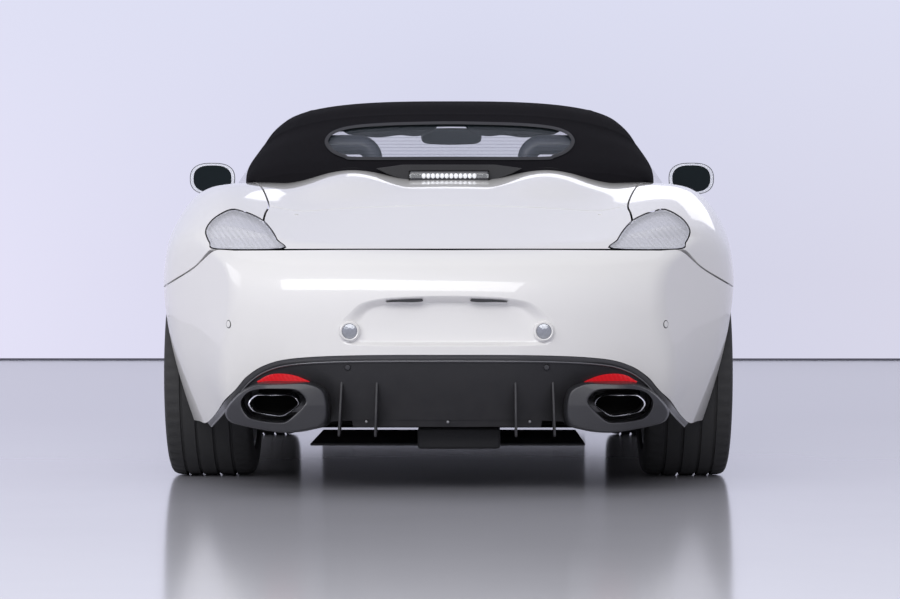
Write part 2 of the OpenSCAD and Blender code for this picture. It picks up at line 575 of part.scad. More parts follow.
// Lamps fill their openings with a small gap
module tail_lamps() color([0.8, 0.8, 0.8, 0.8]) as_mesh() union() {
    intersection() {
        mirrored() tile("side", [for (y = [-1480, -1700, -1900, -2150]) [y, 30]], [for (y = [-1480,
            -1700, -1900, -2150]) [y, 75]],
            12, 7, 40);
        prism_y(LAMP, -2300, -1300, -1.5);
    }
    mirrored() {
        block([470, -2004, rail_rear_z + 90], [500, -1984, 660]);
        block([470, -2004, 640], [500, -1880, 660]);
        block([470, -1900, 640], [586, -1880, 660]);
        block([560, -1900, 640], [586, -1840, 660]);
        block([560, -1860, 640], [586, -1840, 745]);
    }
}
module head_lamps() color([0.8, 0.82, 0.84, 0.8]) as_mesh() union() {
    mirrored() {
        block([400, 1790, 330], [424, 1810, 560]);
        block([400, 1790, 540], [610, 1810, 560]);
        block([590, 1790, 540], [610, 1810, 672]);
    }
    intersection() {
    mirrored() tile("top", [[520, 1500], [520, 1700], [520, 1900]], [[790, 1500], [760, 1700], [700,
        1900]], 9, 7, 40);
    prism_z(HEAD, 400, 1000, -1.5);
    }
}
module stop_lamp() color([0.8, 0.8, 0.8, 0.8]) block([-129, -1088, 948.3], [129, -1052, 982]);

// ---------------------------------------------------------------- glasshouse
// Windscreen surface: u from -1 to 1 across, v from 0 at the base to 1 at the header, moved out by d
function screen_at(u, v, d = 0) =
    let (x = u * (655 - 108 * v), y = lerp(800 - 105 * u * u, 190 - 48 * u * u, v), z = lerp(893,
        1212 - 34 * u * u, v),
        bow = 10 * sin(180 * min(max(v, 0), 1)))
    [x, y + (d + bow) * 0.46, z + (d + bow) * 0.88];
module screen_slab(u0, u1, v0, v1, out, in, nu = 10, nv = 5)
    grid_solid([for (i = [0 : nv]) [for (j = [0 : nu]) screen_at(lerp(u0, u1, j / nu), lerp(v0, v1,
        i / nv), out)]],
        [for (i = [0 : nv]) [for (j = [0 : nu]) screen_at(lerp(u0, u1, j / nu), lerp(v0, v1, i / nv),
            in)]]);
module windscreen_frame() color([0.07, 0.07, 0.075]) as_mesh() union() {
    difference() {
        screen_slab(-1.07, 1.07, -0.03, 1.045, 4, -26, 10, 5);
        screen_slab(-1, 1, 0, 1, 40, -60, 10, 5);
    }
    mirrored() {
        block([640, 700, 800], [690, firewall_y + 16, 845]);
        block([640, 700, 840], [690, 756, 874]);
    }
    block([-250, firewall_y - 16, 860], [250, firewall_y, 874]);
    block([-640, firewall_y - 20, 800], [640, firewall_y, 862]);
    intersection() {
        tile("top", [[-600, 800], [-600, 850], [-600, 900]], [[600, 800], [600, 850], [600, 900]], 3,
            12, 8);
        pivot_cylinder(front_pivot, 56);
        block([-600, 818, 700], [600, 900, 1000]);
    }
    intersection() {
        tile("top", [[-600, 780], [-600, 810], [-600, 850]], [[600, 780], [600, 810], [600, 850]], 2,
            12, 22);
        block([-600, 799, 700], [600, 824, 1000]);
    }
}
module windscreen() color([0.6, 0.68, 0.7, 0.4]) as_mesh() screen_slab(-0.999, 0.999, 0.003, 0.998, 0,
    -glass_t);
module cabin_mirror() color([0.06, 0.06, 0.065]) union() {
    translate([0, 218, 1156]) cube([225, 24, 58], center = true);
    as_mesh() difference() {
        translate([0, 246, 1165]) cube([24, 46, 20], center = true);
        screen_slab(-1, 1, 0, 1, 40, -glass_t - 0.3, 10, 5);
    }
}
// Fabric roof ribs from front to back: centre y, z; edge x, y, z
RIBS = [
    [190, 1218, 560, 160, 1160],
    [40, 1251, 592, 20, 1156],
    [-150, 1264, 614, -120, 1130],
    [-350, 1243, 643, -330, 1070],
    [-480, 1208, 662, -455, 1020],
    [-560, 1182, 694, -507, 950],
    [-700, 1132, 690, -700, 952],
    [-860, 1070, 680, -820, 949],
    [-960, 1028, 668, -880, 945],
    [-1036, 984, 640, -925, 941]];
rib_power = 2.9;
function rib_at(s, f, d) =
    let (k = [for (c = [1 : 5]) curve([for (i = [0 : len(RIBS) - 1]) concat([i], RIBS[i])], c, s)],
        m = 2 / rib_power, w = cos(f)^m, side = sin(f)^m,
        rise = k[1] - k[4], x = (k[2] - d * 0.8) * side)
    [x, k[3] + (k[0] - k[3]) * w, k[4] + (rise - d) * w];
function roof_height(x, y, z) = max(z, (y < -495 ? top_z(abs(x), y) + 6.5 : 0));
module roof_shell(d_out, d_in, s0 = 0, s1 = 9, ns = 18, nf = 8) mirrored_grid(d_out, d_in, s0, s1, ns, nf);
module mirrored_grid(d_out, d_in, s0, s1, ns, nf) {
    function row(s, d) = [for (j = [-nf : nf])
        let (f = 90 * abs(j) / nf, p = rib_at(s, f, d), x = j < 0 ? -p[0] : p[0])
        [x, p[1] + (d > 0 && s > 8 ? d * (s - 8) : 0), roof_height(x, p[1], p[2])]];
    grid_solid([for (i = [0 : ns]) row(lerp(s1, s0, i / ns), d_out)], [for (i = [0 : ns]) row(lerp(s1,
        s0, i / ns), d_in)]);
}
REAR_PANE = [[0, -60], [300, -60], [345, -52], [385, -34], [408, -8], [410, 12], [392, 34], [340, 52],
    [240, 62], [120, 66],
    [0, 68]];
module rear_pane_cut(grow) intersection() {
    translate([0, -600, 0]) rotate([90, 0, 0]) linear_extrude(420) offset(delta = grow)
        polygon(concat([for (q = REAR_PANE) [q[0], 1092 + q[1]]],
            [for (i = [len(REAR_PANE) - 1 : -1 : 0]) [-REAR_PANE[i][0], 1092 + REAR_PANE[i][1]]]));
    block([-500, -1010, 900], [500, -600, 1300]);
}
module fabric_roof() color([0.03, 0.03, 0.033]) as_mesh() difference() {
    roof_shell(0, roof_t);
    rear_pane_cut(0);
    screen_slab(-1.2, 1.2, -0.1, 1.046, 60, -60, 10, 5);
}
module rear_window() color([0.3, 0.34, 0.36, 0.5]) as_mesh() intersection() {
    roof_shell(3, 3 + glass_t, 4.5, 8.8, 8, 8);
    rear_pane_cut(-0.3);
}

// ---------------------------------------------------------------- cabin
hoop_x = 370;
module roll_hoops() color([0.12, 0.13, 0.15]) mirrored() union() {
    for (x = [hoop_x - 106, hoop_x + 106]) translate([x, -605, 865]) cylinder(r = 34, h = 175, $fn = 32);
    for (h = [0, 1]) translate([hoop_x, -605, 1040]) mirror([h, 0, 0]) translate([57, 0, 0]) rotate([90,
        0, 0])
        rotate_extrude(angle = 90, $fn = 32) translate([49, 0]) circle(r = 34, $fn = 32);
    translate([hoop_x - 57, -605, 1089]) rotate([0, 90, 0]) cylinder(r = 34, h = 114, $fn = 32);
}
module seats() color([0.13, 0.14, 0.16]) mirrored() translate([hoop_x, 0, 0]) {
    block([-230, -330, 160], [230, 190, 215]);
    block([-150, -250, 215], [150, 220, 300]);
    for (h = [0, 1]) mirror([h, 0, 0]) block([150, -330, 215], [245, 150, 335]);
    translate([0, -250, 215]) rotate([15, 0, 0]) {
        block([-160, -75, 0], [160, 0, 560]);
        for (h = [0, 1]) mirror([h, 0, 0]) block([160, -75, 0], [240, 55, 480]);
        block([-130, -80, 560], [130, -8, 830]);
    }
}
wheel_at = [-hoop_x, 440, 800];
wheel_tilt = 22;
module dashboard() color([0.09, 0.09, 0.095]) union() {
    translate([-636, 0, 0]) rotate([90, 0, 90]) linear_extrude(1272)
        polygon([[firewall_y, 420], [640, 420], [560, 560], [530, 690], [545, 790], [610, 838], [700,
            846], [firewall_y - 25, 790],
            [firewall_y, 790]]);
    translate(wheel_at + [-135, 110, -20]) cube([270, 120, 84]);
    translate(wheel_at) rotate([90 - wheel_tilt, 0, 0]) {
        translate([0, 0, -150]) cylinder(r = 32, h = 118);
        translate([0, 0, -40]) cylinder(r = 12, h = 50);
    }
}
module steering_wheel() color([0.05, 0.05, 0.055]) translate(wheel_at) rotate([90 - wheel_tilt, 0,
    0]) difference() {
    union() {
        rotate_extrude(angle = 360) translate([172, 0]) circle(r = 14, $fn = 24);
        translate([0, 0, -24]) cylinder(r = 62, h = 36);
        for (a = [0, 180, 270]) rotate([0, 0, a]) translate([50, -15, -8]) cube([116, 30, 14]);
    }
    translate([0, 0, -30]) cylinder(r = 12 + spindle_fit, h = 41);
}
module centre_console() color([0.1, 0.1, 0.105]) union() {
    block([-95, -420, 340], [95, 560, 400]);
    block([-80, -420, 400], [80, -60, 470]);
    translate([0, 120, 400]) cylinder(r = 12, h = 90);
    translate([0, 120, 500]) sphere(r = 26, $fn = 32);
}
module engine() color([0.3, 0.31, 0.32]) union() {
    block([-300, -1120, 230], [300, bulkhead_y - 40, 620]);
    block([-150, -1690, 230], [150, -1110, 470]);
    block([-430, -1000, 400], [430, -940, 440]);
}

// ---------------------------------------------------------------- wheels and suspension
module front_suspension() color([0.25, 0.26, 0.27]) union() {
    block([-rail_front_x, front_axle_y - 90, 196], [rail_front_x, front_axle_y + 90, 230]);
    mirrored() {
        for (y = [-80, 80]) bar([400, front_axle_y + y, 208], [front_wheel_x - king_dx, front_axle_y,
            176], 12);
        translate([front_wheel_x - king_dx, front_axle_y, front_tyre_r - 156]) {
            cylinder(r = 22, h = 24);
            cylinder(r = kingpin_r, h = 72);
        }
        translate([front_wheel_x - king_dx, front_axle_y, front_tyre_r + 92]) cylinder(r = kingpin_r,
            h = 60);
        translate([front_wheel_x - king_dx, front_axle_y, front_tyre_r + 133]) cylinder(r = 20, h = 24);
        block([front_wheel_x - strut_dx - 16, front_axle_y - 16, front_tyre_r + 137],
            [front_wheel_x - king_dx, front_axle_y + 16, front_tyre_r + 155]);
        translate([front_wheel_x - strut_dx, front_axle_y, front_tyre_r + 137])
            cylinder(r = 22, h = tower_front_z - front_tyre_r - 137);
    }
}
module rear_suspension() color([0.25, 0.26, 0.27]) union() {
    block([-rail_rear_x, rear_axle_y - 90, 196], [rail_rear_x, rear_axle_y + 90, 226]);
    mirrored() {
        for (y = [-90, 60]) block([rail_rear_x - 40, rear_axle_y + y, 196], [rail_rear_x,
            rear_axle_y + y + 30, rail_rear_z]);
        for (y = [-70, 70]) bar([rail_rear_x - 20, rear_axle_y + y, 210], [rear_wheel_x - 85,
            rear_axle_y, 183], 13);
        translate([302, 0, 0]) block([0, rear_axle_y - 14, rear_tyre_r - 14], [rear_wheel_x - 105 - 302,
            rear_axle_y + 14, rear_tyre_r + 14]);
        translate([rear_wheel_x - strut_dx - 20, rear_axle_y, rear_tyre_r + 130])
            cylinder(r = 22, h = tower_rear_z - rear_tyre_r - 130);
        block([rear_wheel_x - strut_dx - 40, rear_axle_y - 16, rear_tyre_r + 130], [rear_wheel_x - 66,
            rear_axle_y + 16, rear_tyre_r + 148]);
    }
}
module liner(r, y, z, x0, x1, a0, a1) intersection() {
    translate([x0, y, z]) rotate([0, 90, 0]) difference() {
        cylinder(r = r + 5, h = x1 - x0, $fn = 48);
        translate([0, 0, -1]) cylinder(r = r, h = x1 - x0 + 2, $fn = 48);
    }
    translate([x0 - 1, y, z]) rotate([90, 0, 90]) linear_extrude(x1 - x0 + 2)
        polygon([[0, 0], for (a = [a0 : (a1 - a0) / 8 : a1]) 700 * [cos(a), sin(a)]]);
}
module wheel_liners() color([0.05, 0.05, 0.055]) as_mesh() mirrored() {
    liner(liner_front_r, front_axle_y, front_tyre_r, rail_front_x, 822, 16, 180);
    liner(liner_rear_r, rear_axle_y, rear_tyre_r, rail_rear_x, 826, -8, 164);
}
// Tyre, rim and knuckle with their axle along x; the outer side faces +x
module tyre(r, w) color([0.045, 0.045, 0.047]) rotate([90, 0, 90]) rotate_extrude(angle = 360, $fn = 96)
    polygon([[rim_r, -w / 2 + 12], [rim_r + 12, -w / 2 + 3], [rim_r + 40, -w / 2], [r - 26, -w / 2 + 2],
        [r - 7, -w / 2 + 14],
        [r, -w / 2 + 34], [r, w / 2 - 34], [r - 7, w / 2 - 14], [r - 26, w / 2 - 2], [rim_r + 40,
            w / 2], [rim_r + 12, w / 2 - 3],
        [rim_r, w / 2 - 12]]);
module rim(w) color([0.62, 0.63, 0.65]) difference() {
    union() {
        rotate([90, 0, 90]) rotate_extrude(angle = 360, $fn = 96)
            polygon([[rim_r, -w / 2 + 12], [rim_r, w / 2 - 12], [rim_r - 16, w / 2 - 12], [rim_r - 22,
                w / 2 - 40],
                [rim_r - 16, 0], [rim_r - 16, -w / 2 + 12]]);
        translate([-36, 0, 0]) rotate([0, 90, 0]) cylinder(r = 72, h = w / 2 - 4);
        translate([-58, 0, 0]) rotate([0, 90, 0]) cylinder(r = disc_r, h = 24);
        for (a = [0 : 72 : 288]) rotate([a, 0, 0]) for (q = [-1, 1])
            translate([w / 2 - 66, 0, 0]) rotate([q * 10, 0, 0]) translate([0, -13, 60]) cube([32, 26,
                rim_r - 75]);
    }
    translate([-70, 0, 0]) rotate([0, 90, 0]) cylinder(r = spindle_r + spindle_fit, h = 130);
}
module knuckle(steered) color([0.3, 0.31, 0.32]) union() {
    difference() {
        block([-105, -42, -130], [-65, 42, 130]);
        if (steered) for (z = [-131, 90]) translate([-king_dx, 0,
            z]) cylinder(r = kingpin_r + spindle_fit, h = 50);
    }
    translate([-66, 0, 0]) rotate([0, 90, 0]) cylinder(r = spindle_r, h = 116);
    block([-90, -120, 40], [-65, -30, 110]);
    block([-90, -178, 40], [-65, -118, 110]);
    block([-90, -178, 40], [4, -164, 110]);
    block([-30, -178, 40], [4, -110, 110]);
}
module at_wheel(front, left) side_of(left)
    translate([front ? front_wheel_x : rear_wheel_x, front ? front_axle_y : rear_axle_y,
        front ? front_tyre_r : rear_tyre_r])
    children();
module front_left_tyre() at_wheel(true, true) tyre(front_tyre_r, front_tyre_w);
module front_right_tyre() at_wheel(true, false) tyre(front_tyre_r, front_tyre_w);
module rear_left_tyre() at_wheel(false, true) tyre(rear_tyre_r, rear_tyre_w);
module rear_right_tyre() at_wheel(false, false) tyre(rear_tyre_r, rear_tyre_w);
module front_left_rim() at_wheel(true, true) rim(front_tyre_w);
module front_right_rim() at_wheel(true, false) rim(front_tyre_w);
module rear_left_rim() at_wheel(false, true) rim(rear_tyre_w);
module rear_right_rim() at_wheel(false, false) rim(rear_tyre_w);
module front_left_knuckle() at_wheel(true, true) knuckle(true);
module front_right_knuckle() at_wheel(true, false) knuckle(true);
module rear_knuckles() {
    at_wheel(false, true) knuckle(false);
    at_wheel(false, false) knuckle(false);
}

floor_pan();
cabin_walls();
sills();
front_bumper();
rear_bumper();
diffuser();
exhaust();
front_wings();
rear_wings();
left_door();
right_door();
left_door_glass();
right_door_glass();
left_mirror();
right_mirror();
front_lid();
rear_lid();
roof_lid();
head_lamps();
tail_lamps();
stop_lamp();
windscreen_frame();
windscreen();
cabin_mirror();
fabric_roof();
rear_window();
roll_hoops();
seats();
dashboard();
steering_wheel();
centre_console();
engine();
front_suspension();
rear_suspension();
wheel_liners();
front_left_tyre();
front_right_tyre();
rear_left_tyre();
rear_right_tyre();
front_left_rim();
front_right_rim();
rear_left_rim();
rear_right_rim();
front_left_knuckle();
front_right_knuckle();
rear_knuckles();
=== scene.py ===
"""Two-seat mid-engined roadster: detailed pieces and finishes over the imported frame.

Lengths in the tables are millimetres; every mesh is in metres, with its place in its vertices.
"""

from __future__ import annotations

import json
import logging
import math
from dataclasses import dataclass
from enum import Enum
from typing import Callable, Iterable, Sequence

import bmesh
import bpy
import numpy as np
from mathutils import Matrix, Vector

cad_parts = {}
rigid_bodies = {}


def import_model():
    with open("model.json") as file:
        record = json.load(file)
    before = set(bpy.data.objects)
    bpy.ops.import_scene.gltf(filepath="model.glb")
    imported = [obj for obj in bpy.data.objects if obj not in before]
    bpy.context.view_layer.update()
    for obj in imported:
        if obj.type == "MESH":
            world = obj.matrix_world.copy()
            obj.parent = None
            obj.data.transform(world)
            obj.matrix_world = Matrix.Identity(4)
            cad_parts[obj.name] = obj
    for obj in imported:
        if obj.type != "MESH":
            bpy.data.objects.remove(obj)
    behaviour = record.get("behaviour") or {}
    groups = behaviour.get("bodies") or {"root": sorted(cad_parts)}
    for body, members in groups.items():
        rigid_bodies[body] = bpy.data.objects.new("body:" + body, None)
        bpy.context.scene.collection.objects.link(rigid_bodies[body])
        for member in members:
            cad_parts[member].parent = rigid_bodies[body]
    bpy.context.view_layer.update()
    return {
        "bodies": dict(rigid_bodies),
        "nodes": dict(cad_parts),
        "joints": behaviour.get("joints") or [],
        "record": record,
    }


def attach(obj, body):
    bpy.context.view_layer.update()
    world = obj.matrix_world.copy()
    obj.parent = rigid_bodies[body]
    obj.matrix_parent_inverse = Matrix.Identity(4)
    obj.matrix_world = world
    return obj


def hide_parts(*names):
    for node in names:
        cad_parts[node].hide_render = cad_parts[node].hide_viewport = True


LOG = logging.getLogger("roadster")
MM = 0.001
Line = Sequence[Sequence[float]]
Points = np.ndarray


# ------------------------------------------------------------------ finishes
class Texture(Enum):
    """The small relief that a finish carries."""

    PLAIN = "plain"
    GRAIN = "grain"
    WEAVE = "weave"
    FLAKE = "flake"
    BRUSHED = "brushed"
    RIBBED = "ribbed"
    STITCHED = "stitched"


class Graph:
    """A node tree being filled in."""

    def __init__(self, tree: bpy.types.NodeTree) -> None:
        """Start on a tree that already exists."""
        self.tree = tree

    def add(self, kind: str, values: dict[str | int, object] | None = None, **settings: object) -> bpy.types.Node:
        """Add a node.

        Args:
            kind: Blender's type name for the node.
            values: socket name or number to a value or to another node's socket.
            settings: plain attributes of the node.

        Returns:
            The new node.
        """
        node = self.tree.nodes.new(kind)
        for name, value in settings.items():
            setattr(node, name, value)
        for key, value in (values or {}).items():
            socket = node.inputs[key]
            if isinstance(value, bpy.types.NodeSocket):
                self.tree.links.new(value, socket)
            else:
                socket.default_value = value
        return node

    def group(self, group: bpy.types.NodeTree, values: dict[str, object]) -> bpy.types.Node:
        """Place a shared group with its own values."""
        node = self.tree.nodes.new("ShaderNodeGroup")
        node.node_tree = group
        for key, value in values.items():
            if isinstance(value, bpy.types.NodeSocket):
                self.tree.links.new(value, node.inputs[key])
            else:
                node.inputs[key].default_value = value
        return node


class Effects:
    """Node groups that several finishes share, each built once."""

    def __init__(self) -> None:
        """Build every group."""
        self.mottle = self._mottle()
        self.grain = self._grain()
        self.weave = self._weave()
        self.dust = self._dust()

    @staticmethod
    def _start(name: str, ins: dict[str, tuple[str, object]],
            outs: dict[str, str]) -> tuple[Graph, bpy.types.Node, bpy.types.Node]:
        """Make an empty group.

        Args:
            name: the group's name.
            ins: input name to socket type and default.
            outs: output name to socket type.

        Returns:
            The graph, its input node and its output node.
        """
        tree = bpy.data.node_groups.new(name, "ShaderNodeTree")
        for key, (kind, value) in ins.items():
            tree.interface.new_socket(key, in_out="INPUT", socket_type=kind).default_value = value
        for key, kind in outs.items():
            tree.interface.new_socket(key, in_out="OUTPUT", socket_type=kind)
        return Graph(tree), tree.nodes.new("NodeGroupInput"), tree.nodes.new("NodeGroupOutput")

    def _mottle(self) -> bpy.types.NodeTree:
        """Slow change of colour and roughness over a surface."""
        g, inp, out = self._start(
            "Mottle",
            {"Color": ("NodeSocketColor", (0.5, 0.5, 0.5, 1)), "Scale": ("NodeSocketFloat", 6.0),
                "Amount": ("NodeSocketFloat", 0.05),
             "Roughness": ("NodeSocketFloat", 0.4), "Spread": ("NodeSocketFloat", 0.05)},
            {"Color": "NodeSocketColor", "Roughness": "NodeSocketFloat"},
        )
        at = g.add("ShaderNodeTexCoord").outputs["Object"]
        noise = g.add("ShaderNodeTexNoise",
            {"Vector": at, "Scale": inp.outputs["Scale"], "Detail": 5.0, "Roughness": 0.6}).outputs["Fac"]
        half = g.add("ShaderNodeMath", {0: noise, 1: 0.5}, operation="SUBTRACT").outputs[0]
        shade = g.add("ShaderNodeMath", {0: half, 1: inp.outputs["Amount"]}, operation="MULTIPLY").outputs[0]
        gain = g.add("ShaderNodeMath", {0: shade, 1: 1.0}, operation="ADD").outputs[0]
        tint = g.add("ShaderNodeVectorMath", {0: inp.outputs["Color"], "Scale": gain},
            operation="SCALE").outputs[0]
        rough = g.add("ShaderNodeMath", {0: half, 1: inp.outputs["Spread"], 2: inp.outputs["Roughness"]},
            operation="MULTIPLY_ADD").outputs[0]
        g.tree.links.new(tint, out.inputs["Color"])
        g.tree.links.new(rough, out.inputs["Roughness"])
        return g.tree

    def _grain(self) -> bpy.types.NodeTree:
        """Moulded or leather grain as a normal, with its height as a mask."""
        g, inp, out = self._start(
            "Grain",
            {"Scale": ("NodeSocketFloat", 400.0), "Strength": ("NodeSocketFloat", 0.2),
                "Cells": ("NodeSocketFloat", 0.5)},
            {"Normal": "NodeSocketVector", "Mask": "NodeSocketFloat"},
        )
        at = g.add("ShaderNodeTexCoord").outputs["Object"]
        noise = g.add("ShaderNodeTexNoise",
            {"Vector": at, "Scale": inp.outputs["Scale"], "Detail": 3.0}).outputs["Fac"]
        cells = g.add("ShaderNodeTexVoronoi", {"Vector": at, "Scale": inp.outputs["Scale"]}).outputs["Distance"]
        mix = g.add("ShaderNodeMix", {"Factor": inp.outputs["Cells"], 2: noise, 3: cells},
            data_type="FLOAT").outputs[0]
        bump = g.add("ShaderNodeBump", {"Strength": inp.outputs["Strength"], "Distance": 0.0006, "Height": mix})
        g.tree.links.new(bump.outputs[0], out.inputs["Normal"])
        g.tree.links.new(mix, out.inputs["Mask"])
        return g.tree

    def _weave(self) -> bpy.types.NodeTree:
        """Twill of two crossing thread sets."""
        g, inp, out = self._start(
            "Weave",
            {"Scale": ("NodeSocketFloat", 700.0), "Strength": ("NodeSocketFloat", 0.3)},
            {"Normal": "NodeSocketVector", "Mask": "NodeSocketFloat"},
        )
        at = g.add("ShaderNodeTexCoord").outputs["Object"]
        slow = g.add("ShaderNodeTexNoise", {"Vector": at, "Scale": 14.0, "Detail": 4.0}).outputs["Fac"]
        warp = g.add("ShaderNodeTexWave", {"Vector": at, "Scale": inp.outputs["Scale"], "Distortion": 0.6},
            bands_direction="X").outputs["Fac"]
        weft = g.add("ShaderNodeTexWave", {"Vector": at, "Scale": inp.outputs["Scale"], "Distortion": 0.6},
            bands_direction="Y").outputs["Fac"]
        both = g.add("ShaderNodeMath", {0: warp, 1: weft}, operation="MAXIMUM").outputs[0]
        height = g.add("ShaderNodeMath", {0: slow, 1: 0.8, 2: both}, operation="MULTIPLY_ADD").outputs[0]
        bump = g.add("ShaderNodeBump",
            {"Strength": inp.outputs["Strength"], "Distance": 0.0012, "Height": height})
        g.tree.links.new(bump.outputs[0], out.inputs["Normal"])
        g.tree.links.new(both, out.inputs["Mask"])
        return g.tree

    def _dust(self) -> bpy.types.NodeTree:
        """Pale road dust that gathers low on the car."""
        g, inp, out = self._start(
            "Dust",
            {"Color": ("NodeSocketColor", (0.5, 0.5, 0.5, 1)), "Roughness": ("NodeSocketFloat", 0.5),
                "Amount": ("NodeSocketFloat", 0.2),
             "Height": ("NodeSocketFloat", 0.5)},
            {"Color": "NodeSocketColor", "Roughness": "NodeSocketFloat"},
        )
        at = g.add("ShaderNodeTexCoord").outputs["Object"]
        z = g.add("ShaderNodeSeparateXYZ", {0: at}).outputs["Z"]
        low = g.add("ShaderNodeMapRange",
            {"Value": z, "From Min": 0.0, "From Max": inp.outputs["Height"], "To Min": 1.0, "To Max": 0.0})
        noise = g.add("ShaderNodeTexNoise", {"Vector": at, "Scale": 22.0, "Detail": 6.0}).outputs["Fac"]
        part = g.add("ShaderNodeMath", {0: low.outputs[0], 1: noise}, operation="MULTIPLY").outputs[0]
        fac = g.add("ShaderNodeMath", {0: part, 1: inp.outputs["Amount"]}, operation="MULTIPLY",
            use_clamp=True).outputs[0]
        tint = g.add("ShaderNodeMix", {"Factor": fac, 6: inp.outputs["Color"], 7: (0.32, 0.3, 0.28, 1)},
            data_type="RGBA").outputs[2]
        rough = g.add("ShaderNodeMix", {"Factor": fac, 2: inp.outputs["Roughness"], 3: 0.9},
            data_type="FLOAT").outputs[0]
        g.tree.links.new(tint, out.inputs["Color"])
        g.tree.links.new(rough, out.inputs["Roughness"])
        return g.tree


@dataclass(frozen=True)
class Finish:
    """One finish of the car, with everything its material is made from."""

    name: str
    color: tuple[float, float, float]
    roughness: float = 0.5
    texture: Texture = Texture.PLAIN
    scale: float = 400.0
    strength: float = 0.2
    mottle: float = 0.05
    spread: float = 0.08
    metallic: float = 0.0
    coat: float = 0.0
    sheen: float = 0.0
    transmission: float = 0.0
    alpha: float = 1.0
    specular: float = 0.5
    dust: float = 0.0
    dust_height: float = 0.5
    glow: float = 0.0
    turn: float = 0.0

    def material(self, effects: Effects) -> bpy.types.Material:
        """Build the material, or return the one already built."""
        made = bpy.data.materials.get(self.name)
        if made is not None:
            return made
        mat = bpy.data.materials.new(self.name)
        mat.use_nodes = True
        mat.node_tree.nodes.clear()
        g = Graph(mat.node_tree)
        base = g.group(effects.mottle, {"Color": (*self.color, 1), "Scale": 5.0, "Amount": self.mottle,
                                        "Roughness": self.roughness, "Spread": self.spread})
        color, rough, normal = base.outputs["Color"], base.outputs["Roughness"], None
        if self.texture in (Texture.GRAIN, Texture.FLAKE, Texture.STITCHED):
            grain = g.group(effects.grain, {"Scale": self.scale, "Strength": self.strength,
                                            "Cells": 0.15 if self.texture is Texture.FLAKE else 0.6})
            normal = grain.outputs["Normal"]
            if self.texture is not Texture.FLAKE:
                color = g.add("ShaderNodeMix",
                    {"Factor": grain.outputs["Mask"], 6: color, 7: (*[c * 0.72 for c in self.color], 1)},
                              data_type="RGBA").outputs[2]
        elif self.texture is Texture.WEAVE:
            weave = g.group(effects.weave, {"Scale": self.scale, "Strength": self.strength})
            normal = weave.outputs["Normal"]
            color = g.add("ShaderNodeMix",
                {"Factor": weave.outputs["Mask"], 6: (*[c * 0.55 for c in self.color], 1), 7: color},
                          data_type="RGBA").outputs[2]
        elif self.texture in (Texture.BRUSHED, Texture.RIBBED):
            at = g.add("ShaderNodeTexCoord").outputs["Object"]
            turned = g.add("ShaderNodeMapping", {"Vector": at, "Rotation": (0.0, self.turn, 0.0),
                                                 "Scale": (1.0, 1.0, 1.0) if self.texture is Texture.RIBBED
                                                 else (1.0, 12.0, 12.0)}).outputs[0]
            wave = g.add("ShaderNodeTexWave", {"Vector": turned, "Scale": self.scale,
                    "Distortion": 0.0 if self.texture is Texture.RIBBED else 8.0},
                         bands_direction="X").outputs["Fac"]
            normal = g.add("ShaderNodeBump",
                {"Strength": self.strength, "Distance": 0.001, "Height": wave}).outputs[0]
            if self.texture is Texture.RIBBED:
                color = g.add("ShaderNodeMix",
                    {"Factor": wave, 6: (*[c * 0.86 for c in self.color], 1), 7: color},
                    data_type="RGBA").outputs[2]
        if self.dust:
            dust = g.group(effects.dust,
                {"Color": color, "Roughness": rough, "Amount": self.dust, "Height": self.dust_height})
            color, rough = dust.outputs["Color"], dust.outputs["Roughness"]
        values: dict[str | int, object] = {
            "Base Color": color, "Roughness": rough, "Metallic": self.metallic, "Coat Weight": self.coat,
            "Coat Roughness": 0.04,
            "Sheen Weight": self.sheen, "Transmission Weight": self.transmission, "Alpha": self.alpha,
            "Specular IOR Level": self.specular, "IOR": 1.45,
        }
        if normal is not None:
            values["Normal"] = normal
        if self.glow:
            values["Emission Color"] = (*self.color, 1)
            values["Emission Strength"] = self.glow
        shader = g.add("ShaderNodeBsdfPrincipled", values)
        g.add("ShaderNodeOutputMaterial", {"Surface": shader.outputs[0]})
        mat.diffuse_color = (*self.color, self.alpha)
        return mat


PAINT = Finish("pearl_white_paint", (0.84, 0.83, 0.825), 0.32, Texture.FLAKE, 2600.0, 0.035, 0.012, 0.03,
    coat=1.0, specular=0.4)
GLOSS_BLACK = Finish("gloss_black_trim", (0.035, 0.035, 0.038), 0.16, Texture.FLAKE, 900.0, 0.02, 0.2, 0.06,
    coat=0.6)
DARK_GREY = Finish("satin_dark_grey_panel", (0.015, 0.015, 0.018), 0.42, Texture.GRAIN, 900.0, 0.18, 0.2, 0.1,
    dust=0.12, dust_height=0.45)
POD_GREY = Finish("satin_pod_grey", (0.03, 0.03, 0.034), 0.36, Texture.GRAIN, 1100.0, 0.08, 0.15, 0.08, coat=0.15)
MOULDED = Finish("moulded_black_plastic", (0.02, 0.02, 0.021), 0.55, Texture.GRAIN, 700.0, 0.35, 0.2, 0.1)
MESH_BLACK = Finish("intake_mesh_black", (0.012, 0.012, 0.013), 0.6, Texture.GRAIN, 300.0, 0.6, 0.3, 0.1)
SEAL = Finish("rubber_seal", (0.012, 0.012, 0.013), 0.7, Texture.GRAIN, 500.0, 0.2, 0.2, 0.1)
TYRE = Finish("tyre_rubber", (0.022, 0.022, 0.024), 0.72, Texture.GRAIN, 260.0, 0.35, 0.35, 0.15, dust=0.35,
    dust_height=0.9)
ALLOY = Finish("painted_alloy", (0.5, 0.51, 0.53), 0.3, Texture.FLAKE, 1500.0, 0.04, 0.06, 0.08, metallic=0.85,
    coat=0.5, dust=0.1)
MACHINED = Finish("machined_iron", (0.42, 0.42, 0.43), 0.35, Texture.BRUSHED, 40.0, 0.2, 0.15, 0.15, metallic=1.0)
